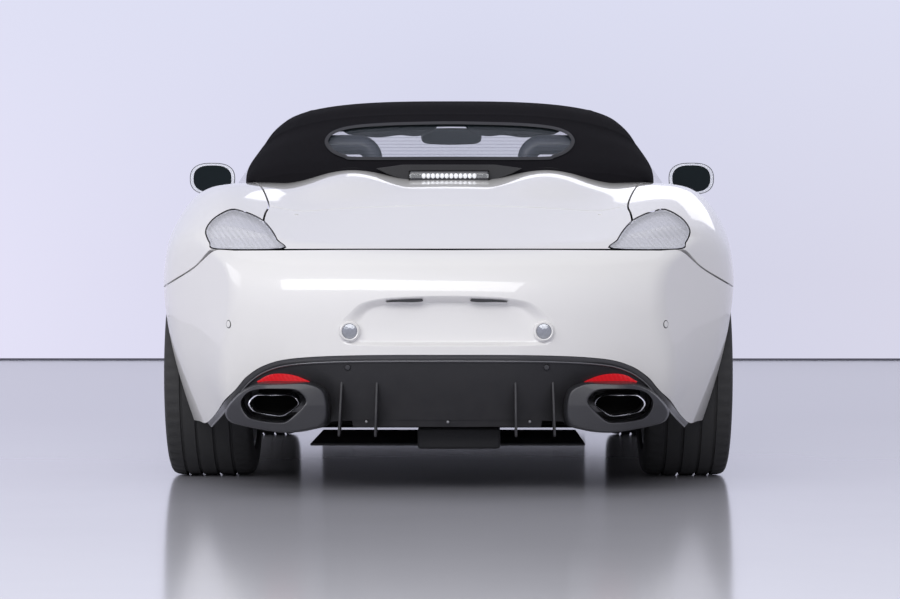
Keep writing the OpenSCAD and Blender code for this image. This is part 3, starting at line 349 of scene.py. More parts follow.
CALIPER = Finish("caliper_enamel", (0.32, 0.33, 0.35), 0.4, Texture.GRAIN, 240.0, 0.12, 0.1, 0.1, metallic=0.5)
CHROME = Finish("polished_tip_chrome", (0.86, 0.86, 0.87), 0.1, Texture.BRUSHED, 60.0, 0.03, 0.05, 0.05,
    metallic=1.0)
BURNT = Finish("sooted_pipe_steel", (0.006, 0.006, 0.006), 0.8, Texture.GRAIN, 150.0, 0.3, 0.4, 0.2, specular=0.1)
STEEL = Finish("aluminised_steel", (0.3, 0.3, 0.31), 0.5, Texture.GRAIN, 90.0, 0.15, 0.3, 0.2, metallic=0.9,
    dust=0.5, dust_height=0.6)
CHASSIS = Finish("chassis_black_enamel", (0.014, 0.014, 0.015), 0.6, Texture.GRAIN, 200.0, 0.15, 0.3, 0.15,
    dust=0.25, dust_height=0.5)
CASTING = Finish("cast_engine_metal", (0.1, 0.1, 0.105), 0.6, Texture.GRAIN, 180.0, 0.5, 0.3, 0.15, metallic=0.6)
# Red reflector lens with a small glow: a painted highlight, since a reflector is no lamp.
REFLECTOR_PAINTED_GLOW = Finish("red_reflector_lens_painted_glow", (0.62, 0.006, 0.012), 0.18, Texture.RIBBED, 28.0, 0.5, 0.25, 0.06,
    coat=1.0, turn=0.5, glow=0.4)
LENS = Finish("clear_lamp_lens", (0.93, 0.94, 0.97), 0.06, Texture.RIBBED, 22.0, 0.12, 0.0, 0.02,
    transmission=0.0, alpha=0.32, coat=1.0, turn=0.72)
LAMP_BOWL = Finish("lamp_reflector_bowl", (0.68, 0.68, 0.745), 0.24, Texture.RIBBED, 34.0, 0.7, 0.05, 0.06,
    metallic=0.25, coat=0.6, turn=0.72)
LED = Finish("clear_led_optic", (0.9, 0.91, 0.94), 0.08, Texture.FLAKE, 300.0, 0.1, 0.02, 0.02, metallic=0.15,
    coat=1.0, glow=0.25)
HEAD_LENS = Finish("head_lamp_lens", (0.9, 0.93, 0.95), 0.04, Texture.PLAIN, alpha=0.22, coat=1.0, mottle=0.0,
    spread=0.01)
GLASS = Finish("green_tinted_glass", (0.2, 0.27, 0.3), 0.03, Texture.PLAIN, alpha=0.1, coat=1.0, mottle=0.0,
    spread=0.01)
# Mirror glass as a dark, weakly glossy surface instead of a silvered one: its colour is a painted reflection.
MIRROR_PAINTED_REFLECTION = Finish("mirror_glass_painted_reflection", (0.011, 0.017, 0.02), 0.06, Texture.BRUSHED, 2.0, 0.01, 0.3, 0.02, specular=0.12)
SILVER_RIM = Finish("silver_mirror_rim", (0.62, 0.63, 0.65), 0.25, Texture.BRUSHED, 50.0, 0.04, 0.05, 0.05,
    metallic=0.9)
HOOD = Finish("black_roof_twill", (0.0125, 0.0118, 0.0145), 0.94, Texture.WEAVE, 330.0, 0.35, 0.35, 0.05,
    specular=0.05)
LINING = Finish("roof_lining_cloth", (0.02, 0.02, 0.022), 0.95, Texture.WEAVE, 420.0, 0.3, 0.1, 0.04, sheen=0.1,
    specular=0.1)
HOOP_LEATHER = Finish("blue_grey_hoop_leather", (0.04, 0.046, 0.07), 0.42, Texture.GRAIN, 520.0, 0.3, 0.15, 0.12,
    coat=0.1)
SEAT_LEATHER = Finish("charcoal_seat_leather", (0.034, 0.036, 0.043), 0.48, Texture.STITCHED, 480.0, 0.35, 0.2,
    0.12)
CARPET = Finish("black_carpet", (0.014, 0.014, 0.015), 0.97, Texture.WEAVE, 120.0, 0.9, 0.2, 0.03, sheen=0.2)
THREAD = Finish("grey_thread", (0.16, 0.16, 0.17), 0.8, Texture.WEAVE, 900.0, 0.3, 0.1, 0.05)
AMBER = Finish("amber_turn_lens", (0.75, 0.27, 0.02), 0.15, Texture.RIBBED, 30.0, 0.3, 0.05, 0.05, coat=1.0)
DIAL = Finish("dial_face", (0.02, 0.02, 0.022), 0.35, Texture.GRAIN, 400.0, 0.1, 0.1, 0.05, coat=0.8)


# ------------------------------------------------------------------ body surface
class Way(Enum):
    """Which family of rays names a place on the skin."""

    TOP = "top"
    SIDE = "side"
    FLANK = "flank"
    AFT = "aft"
    FORE = "fore"
    REAR = "rear"
    FRONT = "front"


@dataclass(frozen=True)
class Skin:
    """The body's one outer surface, from section tables along its length."""

    stations: tuple[tuple[float, ...], ...] = (
        (-2165, 684, 10, 684, 560, 640, 80), (-2000, 733, 14, 724, 600, 690, 85),
        (-1800, 784, 20, 786, 655, 768, 88),
        (-1600, 835, 24, 850, 690, 856, 85), (-1400, 886, 27, 898, 712, 898, 75),
        (-1210, 932, 29, 928, 728, 914, 62),
        (-1050, 958, 29, 939, 740, 917, 52), (-850, 975, 30, 945, 742, 912, 44),
        (-550, 985, 34, 946, 742, 900, 40),
        (-200, 965, 40, 926, 738, 890, 42), (200, 925, 40, 908, 738, 886, 44), (600, 895, 30, 892, 728, 886, 46),
        (900, 862, 26, 872, 708, 892, 48), (1235, 800, 22, 842, 690, 902, 52), (1550, 728, 20, 786, 672, 886, 60),
        (1800, 660, 20, 704, 640, 818, 66), (2000, 590, 18, 606, 560, 700, 70),
        (2165, 500, 16, 500, 480, 560, 70))
    fairing: tuple[tuple[float, float], ...] = ((-1520, 0), (-1400, 5), (-1210, 26), (-1000, 36), (-700, 40),
        (-550, 42), (-300, 0))
    tail: tuple[tuple[float, float], ...] = (
        (100, 150), (250, 75), (330, 42), (414, 20), (500, 5), (570, 0), (630, 10), (680, 40), (715, 90),
        (760, 170))
    nose: tuple[tuple[float, float], ...] = ((100, 90), (200, 45), (300, 12), (400, 0), (480, 6), (540, 30),
        (600, 80), (680, 180))
    corner_at: tuple[float, float, float] = (621, -2000, 720)
    corner_normal: tuple[float, float, float] = (0.879, -0.474, 0.047)
    waist: float = 610
    tumble: float = 76

    @staticmethod
    def curve(table: Line, column: int, x: Points | float) -> Points:
        """Read a smooth curve through one column of a table.

        Args:
            table: rows whose first column rises.
            column: which column to read.
            x: where to read it; beyond the ends it is held.

        Returns:
            The curve's values.
        """
        t = np.asarray(table, float)
        k, c = t[:, 0], t[:, column]
        q = np.clip(np.asarray(x, float), k[0], k[-1])
        i = np.clip(np.searchsorted(k, q, side="right") - 1, 0, len(k) - 2)
        before, after = np.maximum(np.arange(len(k)) - 1, 0), np.minimum(np.arange(len(k)) + 1, len(k) - 1)
        m = (c[after] - c[before]) / (k[after] - k[before])
        h = k[i + 1] - k[i]
        s = (q - k[i]) / h
        return ((2 * s**3 - 3 * s**2 + 1) * c[i] + (s**3 - 2 * s**2 + s) * m[i] * h
                + (3 * s**2 - 2 * s**3) * c[i + 1] + (s**3 - s**2) * m[i + 1] * h)

    @staticmethod
    def _smooth_min(a: Points, b: Points, k: Points | float) -> Points:
        """Smaller of two depths, rounded over k where they meet."""
        h = np.maximum(k - np.abs(a - b), 0) / k
        return np.minimum(a, b) - h * h * k / 4

    def top_z(self, x: Points | float, y: Points | float) -> Points:
        """Height of the upper surface at x and y."""
        x, y = np.abs(np.asarray(x, float)), np.asarray(y, float)
        c, w, f, r = (self.curve(self.stations, n, y) for n in (1, 2, 3, 4))
        base = c - w * np.minimum(x / 580, 1.3) ** 2
        at_ridge = c - w * np.minimum(r / 580, 1.3) ** 2
        q = (x - 333) / 215
        bump = np.where(np.abs(q) < 1, (1 - q * q) ** 2, 0)
        e = np.clip((x - 430) / (r - 430), 0, 1)
        return (base + (f - at_ridge) * e * e * (3 - 2 * e) - np.where(x > r, 0.0046 * (x - r) ** 2, 0)
                + bump * self.curve(self.fairing, 1, y))

    def depth(self, p: Points) -> Points:
        """Depth below the skin of each point, positive inside."""
        x, y, z = np.abs(p[:, 0]), p[:, 1], p[:, 2]
        half, tuck = self.curve(self.stations, 5, y), self.curve(self.stations, 6, y)
        side = half - np.where(z < self.waist, tuck * ((self.waist - z) / 400) ** 2,
            self.tumble * ((z - self.waist) / 300) ** 2) - x
        top = 0.95 * (self.top_z(x, y) - z)
        tail = y - (-2165 + 150 * (x / 600) ** 2.4 + self.curve(self.tail, 1, z))
        nose = (2165 - 165 * (x / 600) ** 2.3 - self.curve(self.nose, 1, z)) - y
        corner = -((np.stack([x, y, z], 1) - self.corner_at) @ np.asarray(self.corner_normal))
        rear = y < 0
        end = np.where(rear, self._smooth_min(tail, corner, 24.0), nose)
        return self._smooth_min(self._smooth_min(top, side, np.where(rear, 26.0, 60.0)), end,
            np.where(rear, 34.0, 80.0))

    def _rays(self, way: Way, a: Points, b: Points) -> tuple[Points, Points]:
        """Start points and directions of the rays that a way casts."""
        zero, one = np.zeros_like(a), np.ones_like(a)
        ra, rb = np.radians(a), np.radians(b)
        start, along = {
            Way.TOP: ((a, b, one * 1400), (zero, zero, -one)),
            Way.SIDE: ((one * 300, a, one * 400), (np.cos(rb), zero, np.sin(rb))),
            Way.FLANK: ((zero, a, b), (one, zero, zero)),
            Way.AFT: ((a, -one * 1200, b), (zero, -one, zero)),
            Way.FORE: ((a, one * 1200, b), (zero, one, zero)),
            Way.REAR: ((zero, -one * 1200, b), (np.sin(ra), -np.cos(ra), zero)),
            Way.FRONT: ((zero, one * 1200, b), (np.sin(ra), np.cos(ra), zero)),
        }[way]
        return np.stack(start, 1), np.stack(along, 1)

    def point(self, way: Way, a: Points | float, b: Points | float) -> Points:
        """Find where rays meet the skin.

        Args:
            way: the family of rays.
            a: the first number that names each ray.
            b: the second one.

        Returns:
            One point a row, in millimetres.
        """
        a, b = np.broadcast_arrays(np.atleast_1d(np.asarray(a, float)), np.atleast_1d(np.asarray(b, float)))
        start, along = self._rays(way, a, b)
        low, high = np.full(len(a), 0.0 if way is Way.TOP else 20.0), np.full(len(a),
            1100.0 if way is Way.TOP else 1200.0)
        for _ in range(24):
            mid = (low + high) / 2
            inside = self.depth(start + along * mid[:, None]) > 0
            near = inside != (way is Way.TOP)
            low, high = np.where(near, mid, low), np.where(near, high, mid)
        return start + along * ((low + high) / 2)[:, None]

    def normal(self, p: Points) -> Points:
        """Outward unit normal of the skin near each point."""
        g = np.stack([self.depth(p + e) - self.depth(p - e) for e in np.eye(3) * 1.5], 1)
        return -g / np.linalg.norm(g, axis=1, keepdims=True)

    def side(self, y: float, z: float) -> tuple[float, float]:
        """Side place at station y and height z."""
        return y, math.degrees(math.atan2(z - 400, self.point(Way.FLANK, y, z)[0, 0] - 300))

    def top(self, x: float, y: float) -> tuple[float, float]:
        """Side place at x and y on the upper surface."""
        return y, math.degrees(math.atan2(float(self.top_z(x, y)) - 400, x - 300))

    def end(self, y: float, z: float) -> tuple[float, float]:
        """Rear or front place at station y and height z."""
        return math.degrees(math.atan2(self.point(Way.FLANK, y, z)[0, 0], abs(y) - 1200)), z

    def aft(self, x: float, z: float) -> tuple[float, float]:
        """Rear place at x as seen from behind."""
        p = self.point(Way.AFT, x, z)[0]
        return math.degrees(math.atan2(p[0], -p[1] - 1200)), z

    def fore(self, x: float, z: float) -> tuple[float, float]:
        """Front place at x as seen from ahead."""
        p = self.point(Way.FORE, x, z)[0]
        return math.degrees(math.atan2(p[0], p[1] - 1200)), z


SKIN = Skin()
GAP = 5.0
DOOR_REAR, DOOR_FRONT, DOOR_LOW = -500.0, 699.0, 236.0
FRONT_AXLE, REAR_AXLE = 1235.5, -1179.5
SIDE_GLASS = 5
DECK_LINE = ((668, -560), (664, -850), (625, -1080), (588, -1300), (560, -1500), (562, -1620), (560, -1720),
    (542, -1840),
             (518, -1950), (497, -2060))
LID_LINE = ((610, 870), (604, 1100), (582, 1350), (545, 1600), (500, 1780), (430, 1900))
WING_LINE = ((745, 706), (670, 790), (614, 880), (604, 1100), (582, 1350), (545, 1600), (500, 1780), (430, 1900))
FRONT_SPLIT = ((1350, 470), (1430, 548), (1540, 582), (1650, 597), (1780, 603), (1860, 604))
REAR_SPLIT = ((-1250, 590), (-1408, 606), (-1560, 626), (-1720, 668), (-1850, 722))
BUMPER_TOP = ((0, 716), (250, 717), (500, 716), (640, 716), (726, 712))
BUMPER_LOW = ((0, 412), (270, 410), (446, 400), (532, 380), (592, 344), (642, 291), (691, 238), (738, 192))
LAMP = ((491, 722), (691, 722), (718, 742), (735, 772), (728, 800), (706, 824), (667, 845), (628, 838),
    (595, 826),
        (565, 810), (541, 789), (522, 768), (508, 748))
HEAD = ((560, 1890), (640, 1845), (704, 1770), (738, 1670), (735, 1590), (700, 1560), (655, 1600), (605, 1690),
    (560, 1790),
        (535, 1860))
PANE = ((-470, 872), (600, 872), (640, 912), (560, 968), (160, 1138), (20, 1141), (-120, 1118), (-330, 1056),
    (-475, 1010))


def spread(line: Line, n: int) -> Points:
    """Spread a line of control places into n + 1 places along a smooth curve through them."""
    table = [(i, a, b) for i, (a, b) in enumerate(line)]
    s = np.linspace(0, len(line) - 1, n + 1)
    return np.stack([Skin.curve(table, 1, s), Skin.curve(table, 2, s)], 1)


def both(line: Line) -> list[tuple[float, float]]:
    """Carry a line for the right half over to the left half."""
    return [(-a, b) for a, b in reversed(line[1:])] + [tuple(p) for p in line]


def offset(outline: Line, grow: float) -> list[tuple[float, float]]:
    """Grow a closed outline by a distance along its corner bisectors."""
    p = np.asarray(outline, float)
    before, after = p - np.roll(p, 1, 0), np.roll(p, -1, 0) - p
    area = float(np.sum(p[:, 0] * np.roll(p[:, 1], -1) - p[:, 1] * np.roll(p[:, 0], -1)))
    way = 1.0 if area > 0 else -1.0
    n1, n2 = (np.stack([v[:, 1], -v[:, 0]], 1) / np.linalg.norm(v, axis=1)[:, None] for v in (before, after))
    middle = n1 + n2
    middle /= np.maximum(np.sum(middle * n1, 1, keepdims=True), 0.4)
    return [tuple(q) for q in p + way * grow * middle]


def rounded(outline: Line, steps: int = 5) -> list[tuple[float, float]]:
    """Round a closed outline with a smooth closed curve through its points."""
    p = np.asarray(outline, float)
    out: list[tuple[float, float]] = []
    n = len(p)
    for i in range(n):
        a, b, c, d = p[(i - 1) % n], p[i], p[(i + 1) % n], p[(i + 2) % n]
        for k in range(steps):
            t = k / steps
            out.append(tuple(0.5 * (2 * b + (c - a) * t + (2 * a - 5 * b + 4 * c - d) * t * t
                                    + (3 * b - a - 3 * c + d) * t**3)))
    return out


def softened(outline: Line, cut: float, steps: int = 5) -> list[tuple[float, float]]:
    """Keep a closed outline's straight edges and round its corners over a length."""
    p = [Vector(q) for q in outline]
    out: list[tuple[float, float]] = []
    for i, b in enumerate(p):
        a, c = p[i - 1], p[(i + 1) % len(p)]
        start = b + (a - b) * min(cut / (a - b).length, 0.48)
        end = b + (c - b) * min(cut / (c - b).length, 0.48)
        for k in range(steps + 1):
            t = k / steps
            q = start * (1 - t) ** 2 + b * 2 * t * (1 - t) + end * t * t
            out.append((q.x, q.y))
    return out


# ------------------------------------------------------------------ mesh work
class Axis(Enum):
    """Direction in which a prism or drum runs."""

    X = 0
    Y = 1
    Z = 2


def swept(bm: bmesh.types.BMesh, along: Vector) -> bmesh.types.BMesh:
    """Give a sheet thickness along one direction, in metres."""
    made = bmesh.ops.extrude_face_region(bm, geom=bm.faces[:])
    bmesh.ops.translate(bm, verts=[v for v in made["geom"] if isinstance(v, bmesh.types.BMVert)], vec=along)
    bmesh.ops.recalc_face_normals(bm, faces=bm.faces[:])
    return bm


def prism(outline: Line, axis: Axis, low: float, high: float) -> bmesh.types.BMesh:
    """Extrude a closed outline.

    Args:
        outline: places in the plane square to the axis, in millimetres.
        axis: the direction of extrusion.
        low: where it starts.
        high: where it ends.

    Returns:
        A closed mesh in metres.
    """
    bm = bmesh.new()
    order = {Axis.X: lambda a, b: (low, a, b), Axis.Y: lambda a, b: (a, low, b), Axis.Z: lambda a,
        b: (a, b, low)}[axis]
    verts = [bm.verts.new(Vector(order(a, b)) * MM) for a, b in outline]
    bm.faces.new(verts)
    shift = Vector((0, 0, 0))
    shift[axis.value] = (high - low) * MM
    return swept(bm, shift)


def drum(centre: Sequence[float], radius: float, length: float, axis: Axis, segments: int = 64,
        radius_far: float | None = None) -> bmesh.types.BMesh:
    """Make a drum whose middle is at a place, along an axis, in millimetres."""
    bm = bmesh.new()
    bmesh.ops.create_cone(bm, cap_ends=True, segments=segments, radius1=radius * MM,
                          radius2=(radius if radius_far is None else radius_far) * MM, depth=length * MM)
    turn = {Axis.X: Matrix.Rotation(math.pi / 2, 4, "Y"), Axis.Y: Matrix.Rotation(math.pi / 2, 4, "X"),
        Axis.Z: Matrix.Identity(4)}[axis]
    bmesh.ops.transform(bm, matrix=Matrix.Translation(Vector(centre) * MM) @ turn, verts=bm.verts[:])
    return bm


def brick(low: Sequence[float], high: Sequence[float], edge: float = 0.0, segments: int = 3) -> bmesh.types.BMesh:
    """Make a box between two corners, with rounded edges, in millimetres."""
    bm = bmesh.new()
    bmesh.ops.create_cube(bm, size=1.0)
    lo, hi = Vector(low) * MM, Vector(high) * MM
    bmesh.ops.scale(bm, vec=hi - lo, verts=bm.verts[:])
    bmesh.ops.translate(bm, vec=(hi + lo) / 2, verts=bm.verts[:])
    if edge:
        bmesh.ops.bevel(bm, geom=bm.edges[:], offset=edge * MM, segments=segments, profile=0.5, affect="EDGES",
            material=-1, clamp_overlap=True)
    return bm


def joined(parts: Iterable[bmesh.types.BMesh]) -> bmesh.types.BMesh:
    """Put several meshes in one, freeing them."""
    whole = bmesh.new()
    for part in parts:
        held = bpy.data.meshes.new("held")
        part.to_mesh(held)
        whole.from_mesh(held)
        bpy.data.meshes.remove(held)
        part.free()
    return whole


def mirrored(bm: bmesh.types.BMesh, keep: bool = True) -> bmesh.types.BMesh:
    """Mirror a mesh across the car's middle.

    Args:
        bm: the right-hand mesh; it is changed.
        keep: keep the right-hand half too.

    Returns:
        The same mesh, facing outwards.
    """
    if keep:
        made = bmesh.ops.duplicate(bm, geom=bm.verts[:] + bm.edges[:] + bm.faces[:])["geom"]
        verts = [e for e in made if isinstance(e, bmesh.types.BMVert)]
        faces = [e for e in made if isinstance(e, bmesh.types.BMFace)]
    else:
        verts, faces = bm.verts[:], bm.faces[:]
    bmesh.ops.scale(bm, vec=(-1, 1, 1), verts=verts)
    bmesh.ops.reverse_faces(bm, faces=faces)
    return bm


def carved(bm: bmesh.types.BMesh, tools: Iterable[bmesh.types.BMesh],
        how: str = "DIFFERENCE") -> bmesh.types.BMesh:
    """Cut a mesh with others, freeing them.

    Args:
        bm: the mesh to cut.
        tools: closed meshes.
        how: the boolean's name.

    Returns:
        The cut mesh.
    """
    scene = bpy.context.scene
    held = bpy.data.meshes.new("held")
    bm.to_mesh(held)
    bm.free()
    work = bpy.data.objects.new("work", held)
    scene.collection.objects.link(work)
    helpers = []
    for tool in tools:
        mesh = bpy.data.meshes.new("tool")
        tool.to_mesh(mesh)
        tool.free()
        helper = bpy.data.objects.new("tool", mesh)
        scene.collection.objects.link(helper)
        helpers.append(helper)
        modifier = work.modifiers.new("cut", "BOOLEAN")
        modifier.operation, modifier.solver, modifier.object = how, "EXACT", helper
    bpy.context.view_layer.update()
    result = work.evaluated_get(bpy.context.evaluated_depsgraph_get()).to_mesh()
    out = bmesh.new()
    out.from_mesh(result)
    for thing in [*helpers, work]:
        mesh = thing.data
        bpy.data.objects.remove(thing)
        bpy.data.meshes.remove(mesh)
    return out


def sheet_on(columns: int, rows: int, place: Callable[[Points, Points], Points]) -> bmesh.types.BMesh:
    """Lay a grid on a surface.

    Args:
        columns: cells across.
        rows: cells up.
        place: maps u and v, each from 0 to 1, to points in millimetres.

    Returns:
        An open sheet in metres.
    """
    bm = bmesh.new()
    bmesh.ops.create_grid(bm, x_segments=columns, y_segments=rows, size=0.5)
    uv = np.array([(v.co.x + 0.5, v.co.y + 0.5) for v in bm.verts])
    for vert, p in zip(bm.verts, place(uv[:, 0], uv[:, 1]) * MM):
        vert.co = p
    bm.normal_update()
    return bm


def facing(bm: bmesh.types.BMesh, outward: Callable[[Vector], Vector]) -> bmesh.types.BMesh:
    """Turn a sheet so that its faces look the way that outward gives at their middles."""
    bm.normal_update()
    score = sum(f.normal.dot(outward(f.calc_center_median())) for f in bm.faces)
    if score < 0:
        bmesh.ops.reverse_faces(bm, faces=bm.faces[:])
    bm.normal_update()
    return bm


def tile(way: Way, low: Line, high: Line, columns: int, rows: int, thickness: float,
        sink: float = 0.0) -> bmesh.types.BMesh:
    """Cut a curved tile from the skin.

    Args:
        way: the family of rays that names its places.
        low: its lower line of places.
        high: its upper line.
        columns: cells along.
        rows: cells up.
        thickness: how far its inner face lies below the outer one; 0 leaves a sheet.
        sink: how far the outer face lies below the skin.

    Returns:
        The tile, closed where it has thickness.
    """
    lo, hi = spread(low, columns), spread(high, columns)

    def place(u: Points, v: Points) -> Points:
        """Point on the skin at u along and v up."""
        i = np.rint(u * columns).astype(int)
        q = lo[i] + (hi[i] - lo[i]) * v[:, None]
        p = SKIN.point(way, q[:, 0], q[:, 1])
        return p - SKIN.normal(p) * sink if sink else p

    bm = sheet_on(columns, rows, place)
    mid = SKIN.normal(np.array([f.calc_center_median() for f in bm.faces]) / MM)
    bm.faces.ensure_lookup_table()
    if sum(f.normal.dot(Vector(n)) for f, n in zip(bm.faces, mid)) < 0:
        bmesh.ops.reverse_faces(bm, faces=bm.faces[:])
        bm.normal_update()
    if thickness:
        bmesh.ops.solidify(bm, geom=bm.faces[:], thickness=thickness * MM)
    return bm


def lathe(profile: Line, segments: int, centre: Sequence[float] = (0, 0, 0)) -> bmesh.types.BMesh:
    """Spin a closed profile about the x axis.

    Args:
        profile: places x along the axis and r away from it, in millimetres.
        segments: steps round.
        centre: where the axis passes.

    Returns:
        A closed ring.
    """
    bm = bmesh.new()
    verts = [bm.verts.new((x * MM, 0, r * MM)) for x, r in profile]
    edges = [bm.edges.new((verts[i], verts[(i + 1) % len(verts)])) for i in range(len(verts))]
    bmesh.ops.spin(bm, geom=verts + edges, cent=(0, 0, 0), axis=(1, 0, 0), angle=2 * math.pi, steps=segments,
        use_merge=True)
    bmesh.ops.remove_doubles(bm, verts=bm.verts[:], dist=1e-6)
    bmesh.ops.recalc_face_normals(bm, faces=bm.faces[:])
    bmesh.ops.translate(bm, vec=Vector(centre) * MM, verts=bm.verts[:])
    return bm


def tube(path: Sequence[Sequence[float]], radius: float, sides: int = 16,
        closed: bool = False) -> bmesh.types.BMesh:
    """Sweep a round section along a path.

    Args:
        path: points in millimetres.
        radius: of the section, in millimetres.
        sides: of the section.
        closed: join the end to the start.

    Returns:
        The tube, capped where it is open.
    """
    pts = [Vector(p) * MM for p in path]
    bm = bmesh.new()
    rings, n = [], len(pts)
    up = Vector((0, 0, 1))
    for i, p in enumerate(pts):
        a = pts[i - 1] if i or closed else p
        b = pts[(i + 1) % n] if i < n - 1 or closed else p
        t = (b - a).normalized()
        if abs(t.dot(up)) > 0.9:
            up = Vector((0, 1, 0)) if abs(t.y) < 0.9 else Vector((1, 0, 0))
        s = t.cross(up).normalized()
        up = s.cross(t).normalized()
        ring = bmesh.ops.create_circle(bm, segments=sides, radius=radius * MM)["verts"]
        frame = Matrix((s, up, t)).transposed().to_4x4()
        bmesh.ops.transform(bm, matrix=Matrix.Translation(p) @ frame, verts=ring)
        rings.append(ring)
    bm.edges.ensure_lookup_table()
    for a, b in zip(rings, rings[1:] + ([rings[0]] if closed else [])):
        pairs = {frozenset((e.verts[0], e.verts[1])): e for v in a + b for e in v.link_edges}
        loops = [pairs[frozenset((r[k], r[(k + 1) % sides]))] for r in (a, b) for k in range(sides)]
        bmesh.ops.bridge_loops(bm, edges=loops)
    if not closed:
        for ring in (rings[0], rings[-1]):
            bm.faces.new(ring)
    bmesh.ops.recalc_face_normals(bm, faces=bm.faces[:])
    return bm


class Workshop:
    """Turns meshes into finished pieces that ride on the frame."""

    def __init__(self) -> None:
        """Start with the shared effects and an empty list of pieces."""
        self.effects = Effects()
        self.made: list[str] = []

    def piece(self, name: str, bm: bmesh.types.BMesh, finish: Finish, body: str = "car",
            replaces: Sequence[str] = (),
              slot: str | None = None, sharp: float = 35.0, bevel: float = 0.0,
              smooth: int = 0) -> bpy.types.Object:
        """Finish one piece.

        Args:
            name: the piece's name.
            bm: its mesh, which is freed.
            finish: its finish.
            body: the body it rides on.
            replaces: CAD nodes that it stands for.
            slot: the record's material slot; not used.
            sharp: edges sharper than this many degrees stay hard.
            bevel: width of a bevel modifier, in millimetres.
            smooth: levels of a subdivision modifier.

        Returns:
            The object.
        """
        mesh = bpy.data.meshes.new(name)
        for face in bm.faces:
            face.smooth = True
        bm.to_mesh(mesh)
        bm.free()
        mesh.set_sharp_from_angle(angle=math.radians(sharp))
        obj = bpy.data.objects.new(name, mesh)
        bpy.context.scene.collection.objects.link(obj)
        mesh.materials.append(finish.material(self.effects))
        if bevel:
            m = obj.modifiers.new("edge", "BEVEL")
            m.width, m.segments, m.limit_method, m.angle_limit = bevel * MM, 2, "ANGLE", math.radians(40)
            m.harden_normals = True
        if smooth:
            m = obj.modifiers.new("round", "SUBSURF")
            m.levels = m.render_levels = smooth
        if replaces:
            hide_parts(*replaces)
        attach(obj, body)
        self.made.append(name)
        LOG.info("%s: %d faces", name, len(mesh.polygons))
        return obj

    def dress(self, node: bpy.types.Object, finish: Finish) -> None:
        """Give a CAD node that stays a finish."""
        node.data.materials.clear()
        node.data.materials.append(finish.material(self.effects))


# ------------------------------------------------------------------ body panels
def drums(y: float, radius: float, z: float) -> list[bmesh.types.BMesh]:
    """Cutters for the wheel arches at one axle."""
    return [drum((s * 810, y, z), radius, 500, Axis.X, 128) for s in (-1, 1)]


def pair(outline: Line, axis: Axis, low: float, high: float, grow: float = 0.0) -> list[bmesh.types.BMesh]:
    """Cutters to both sides from a right-hand outline."""
    shape = rounded(offset(outline, grow), 4)
    return [prism(shape, axis, low, high), mirrored(prism(shape, axis, low, high), keep=False)]


def lid_prism(line: Line, gap: float, y0: float, y1: float) -> bmesh.types.BMesh:
    """Upright prism between a lid's side line and its mirror image, from y0 to y1."""
    side = [(x - gap, y) for x, y in spread(line, 60) if min(y0, y1) < y < max(y0, y1)]
    first = (side[0][0], y0)
    last = (side[-1][0], y1)
    right = [first, *side, last]
    return prism(right + [(-x, y) for x, y in reversed(right)], Axis.Z, 300, 1200)


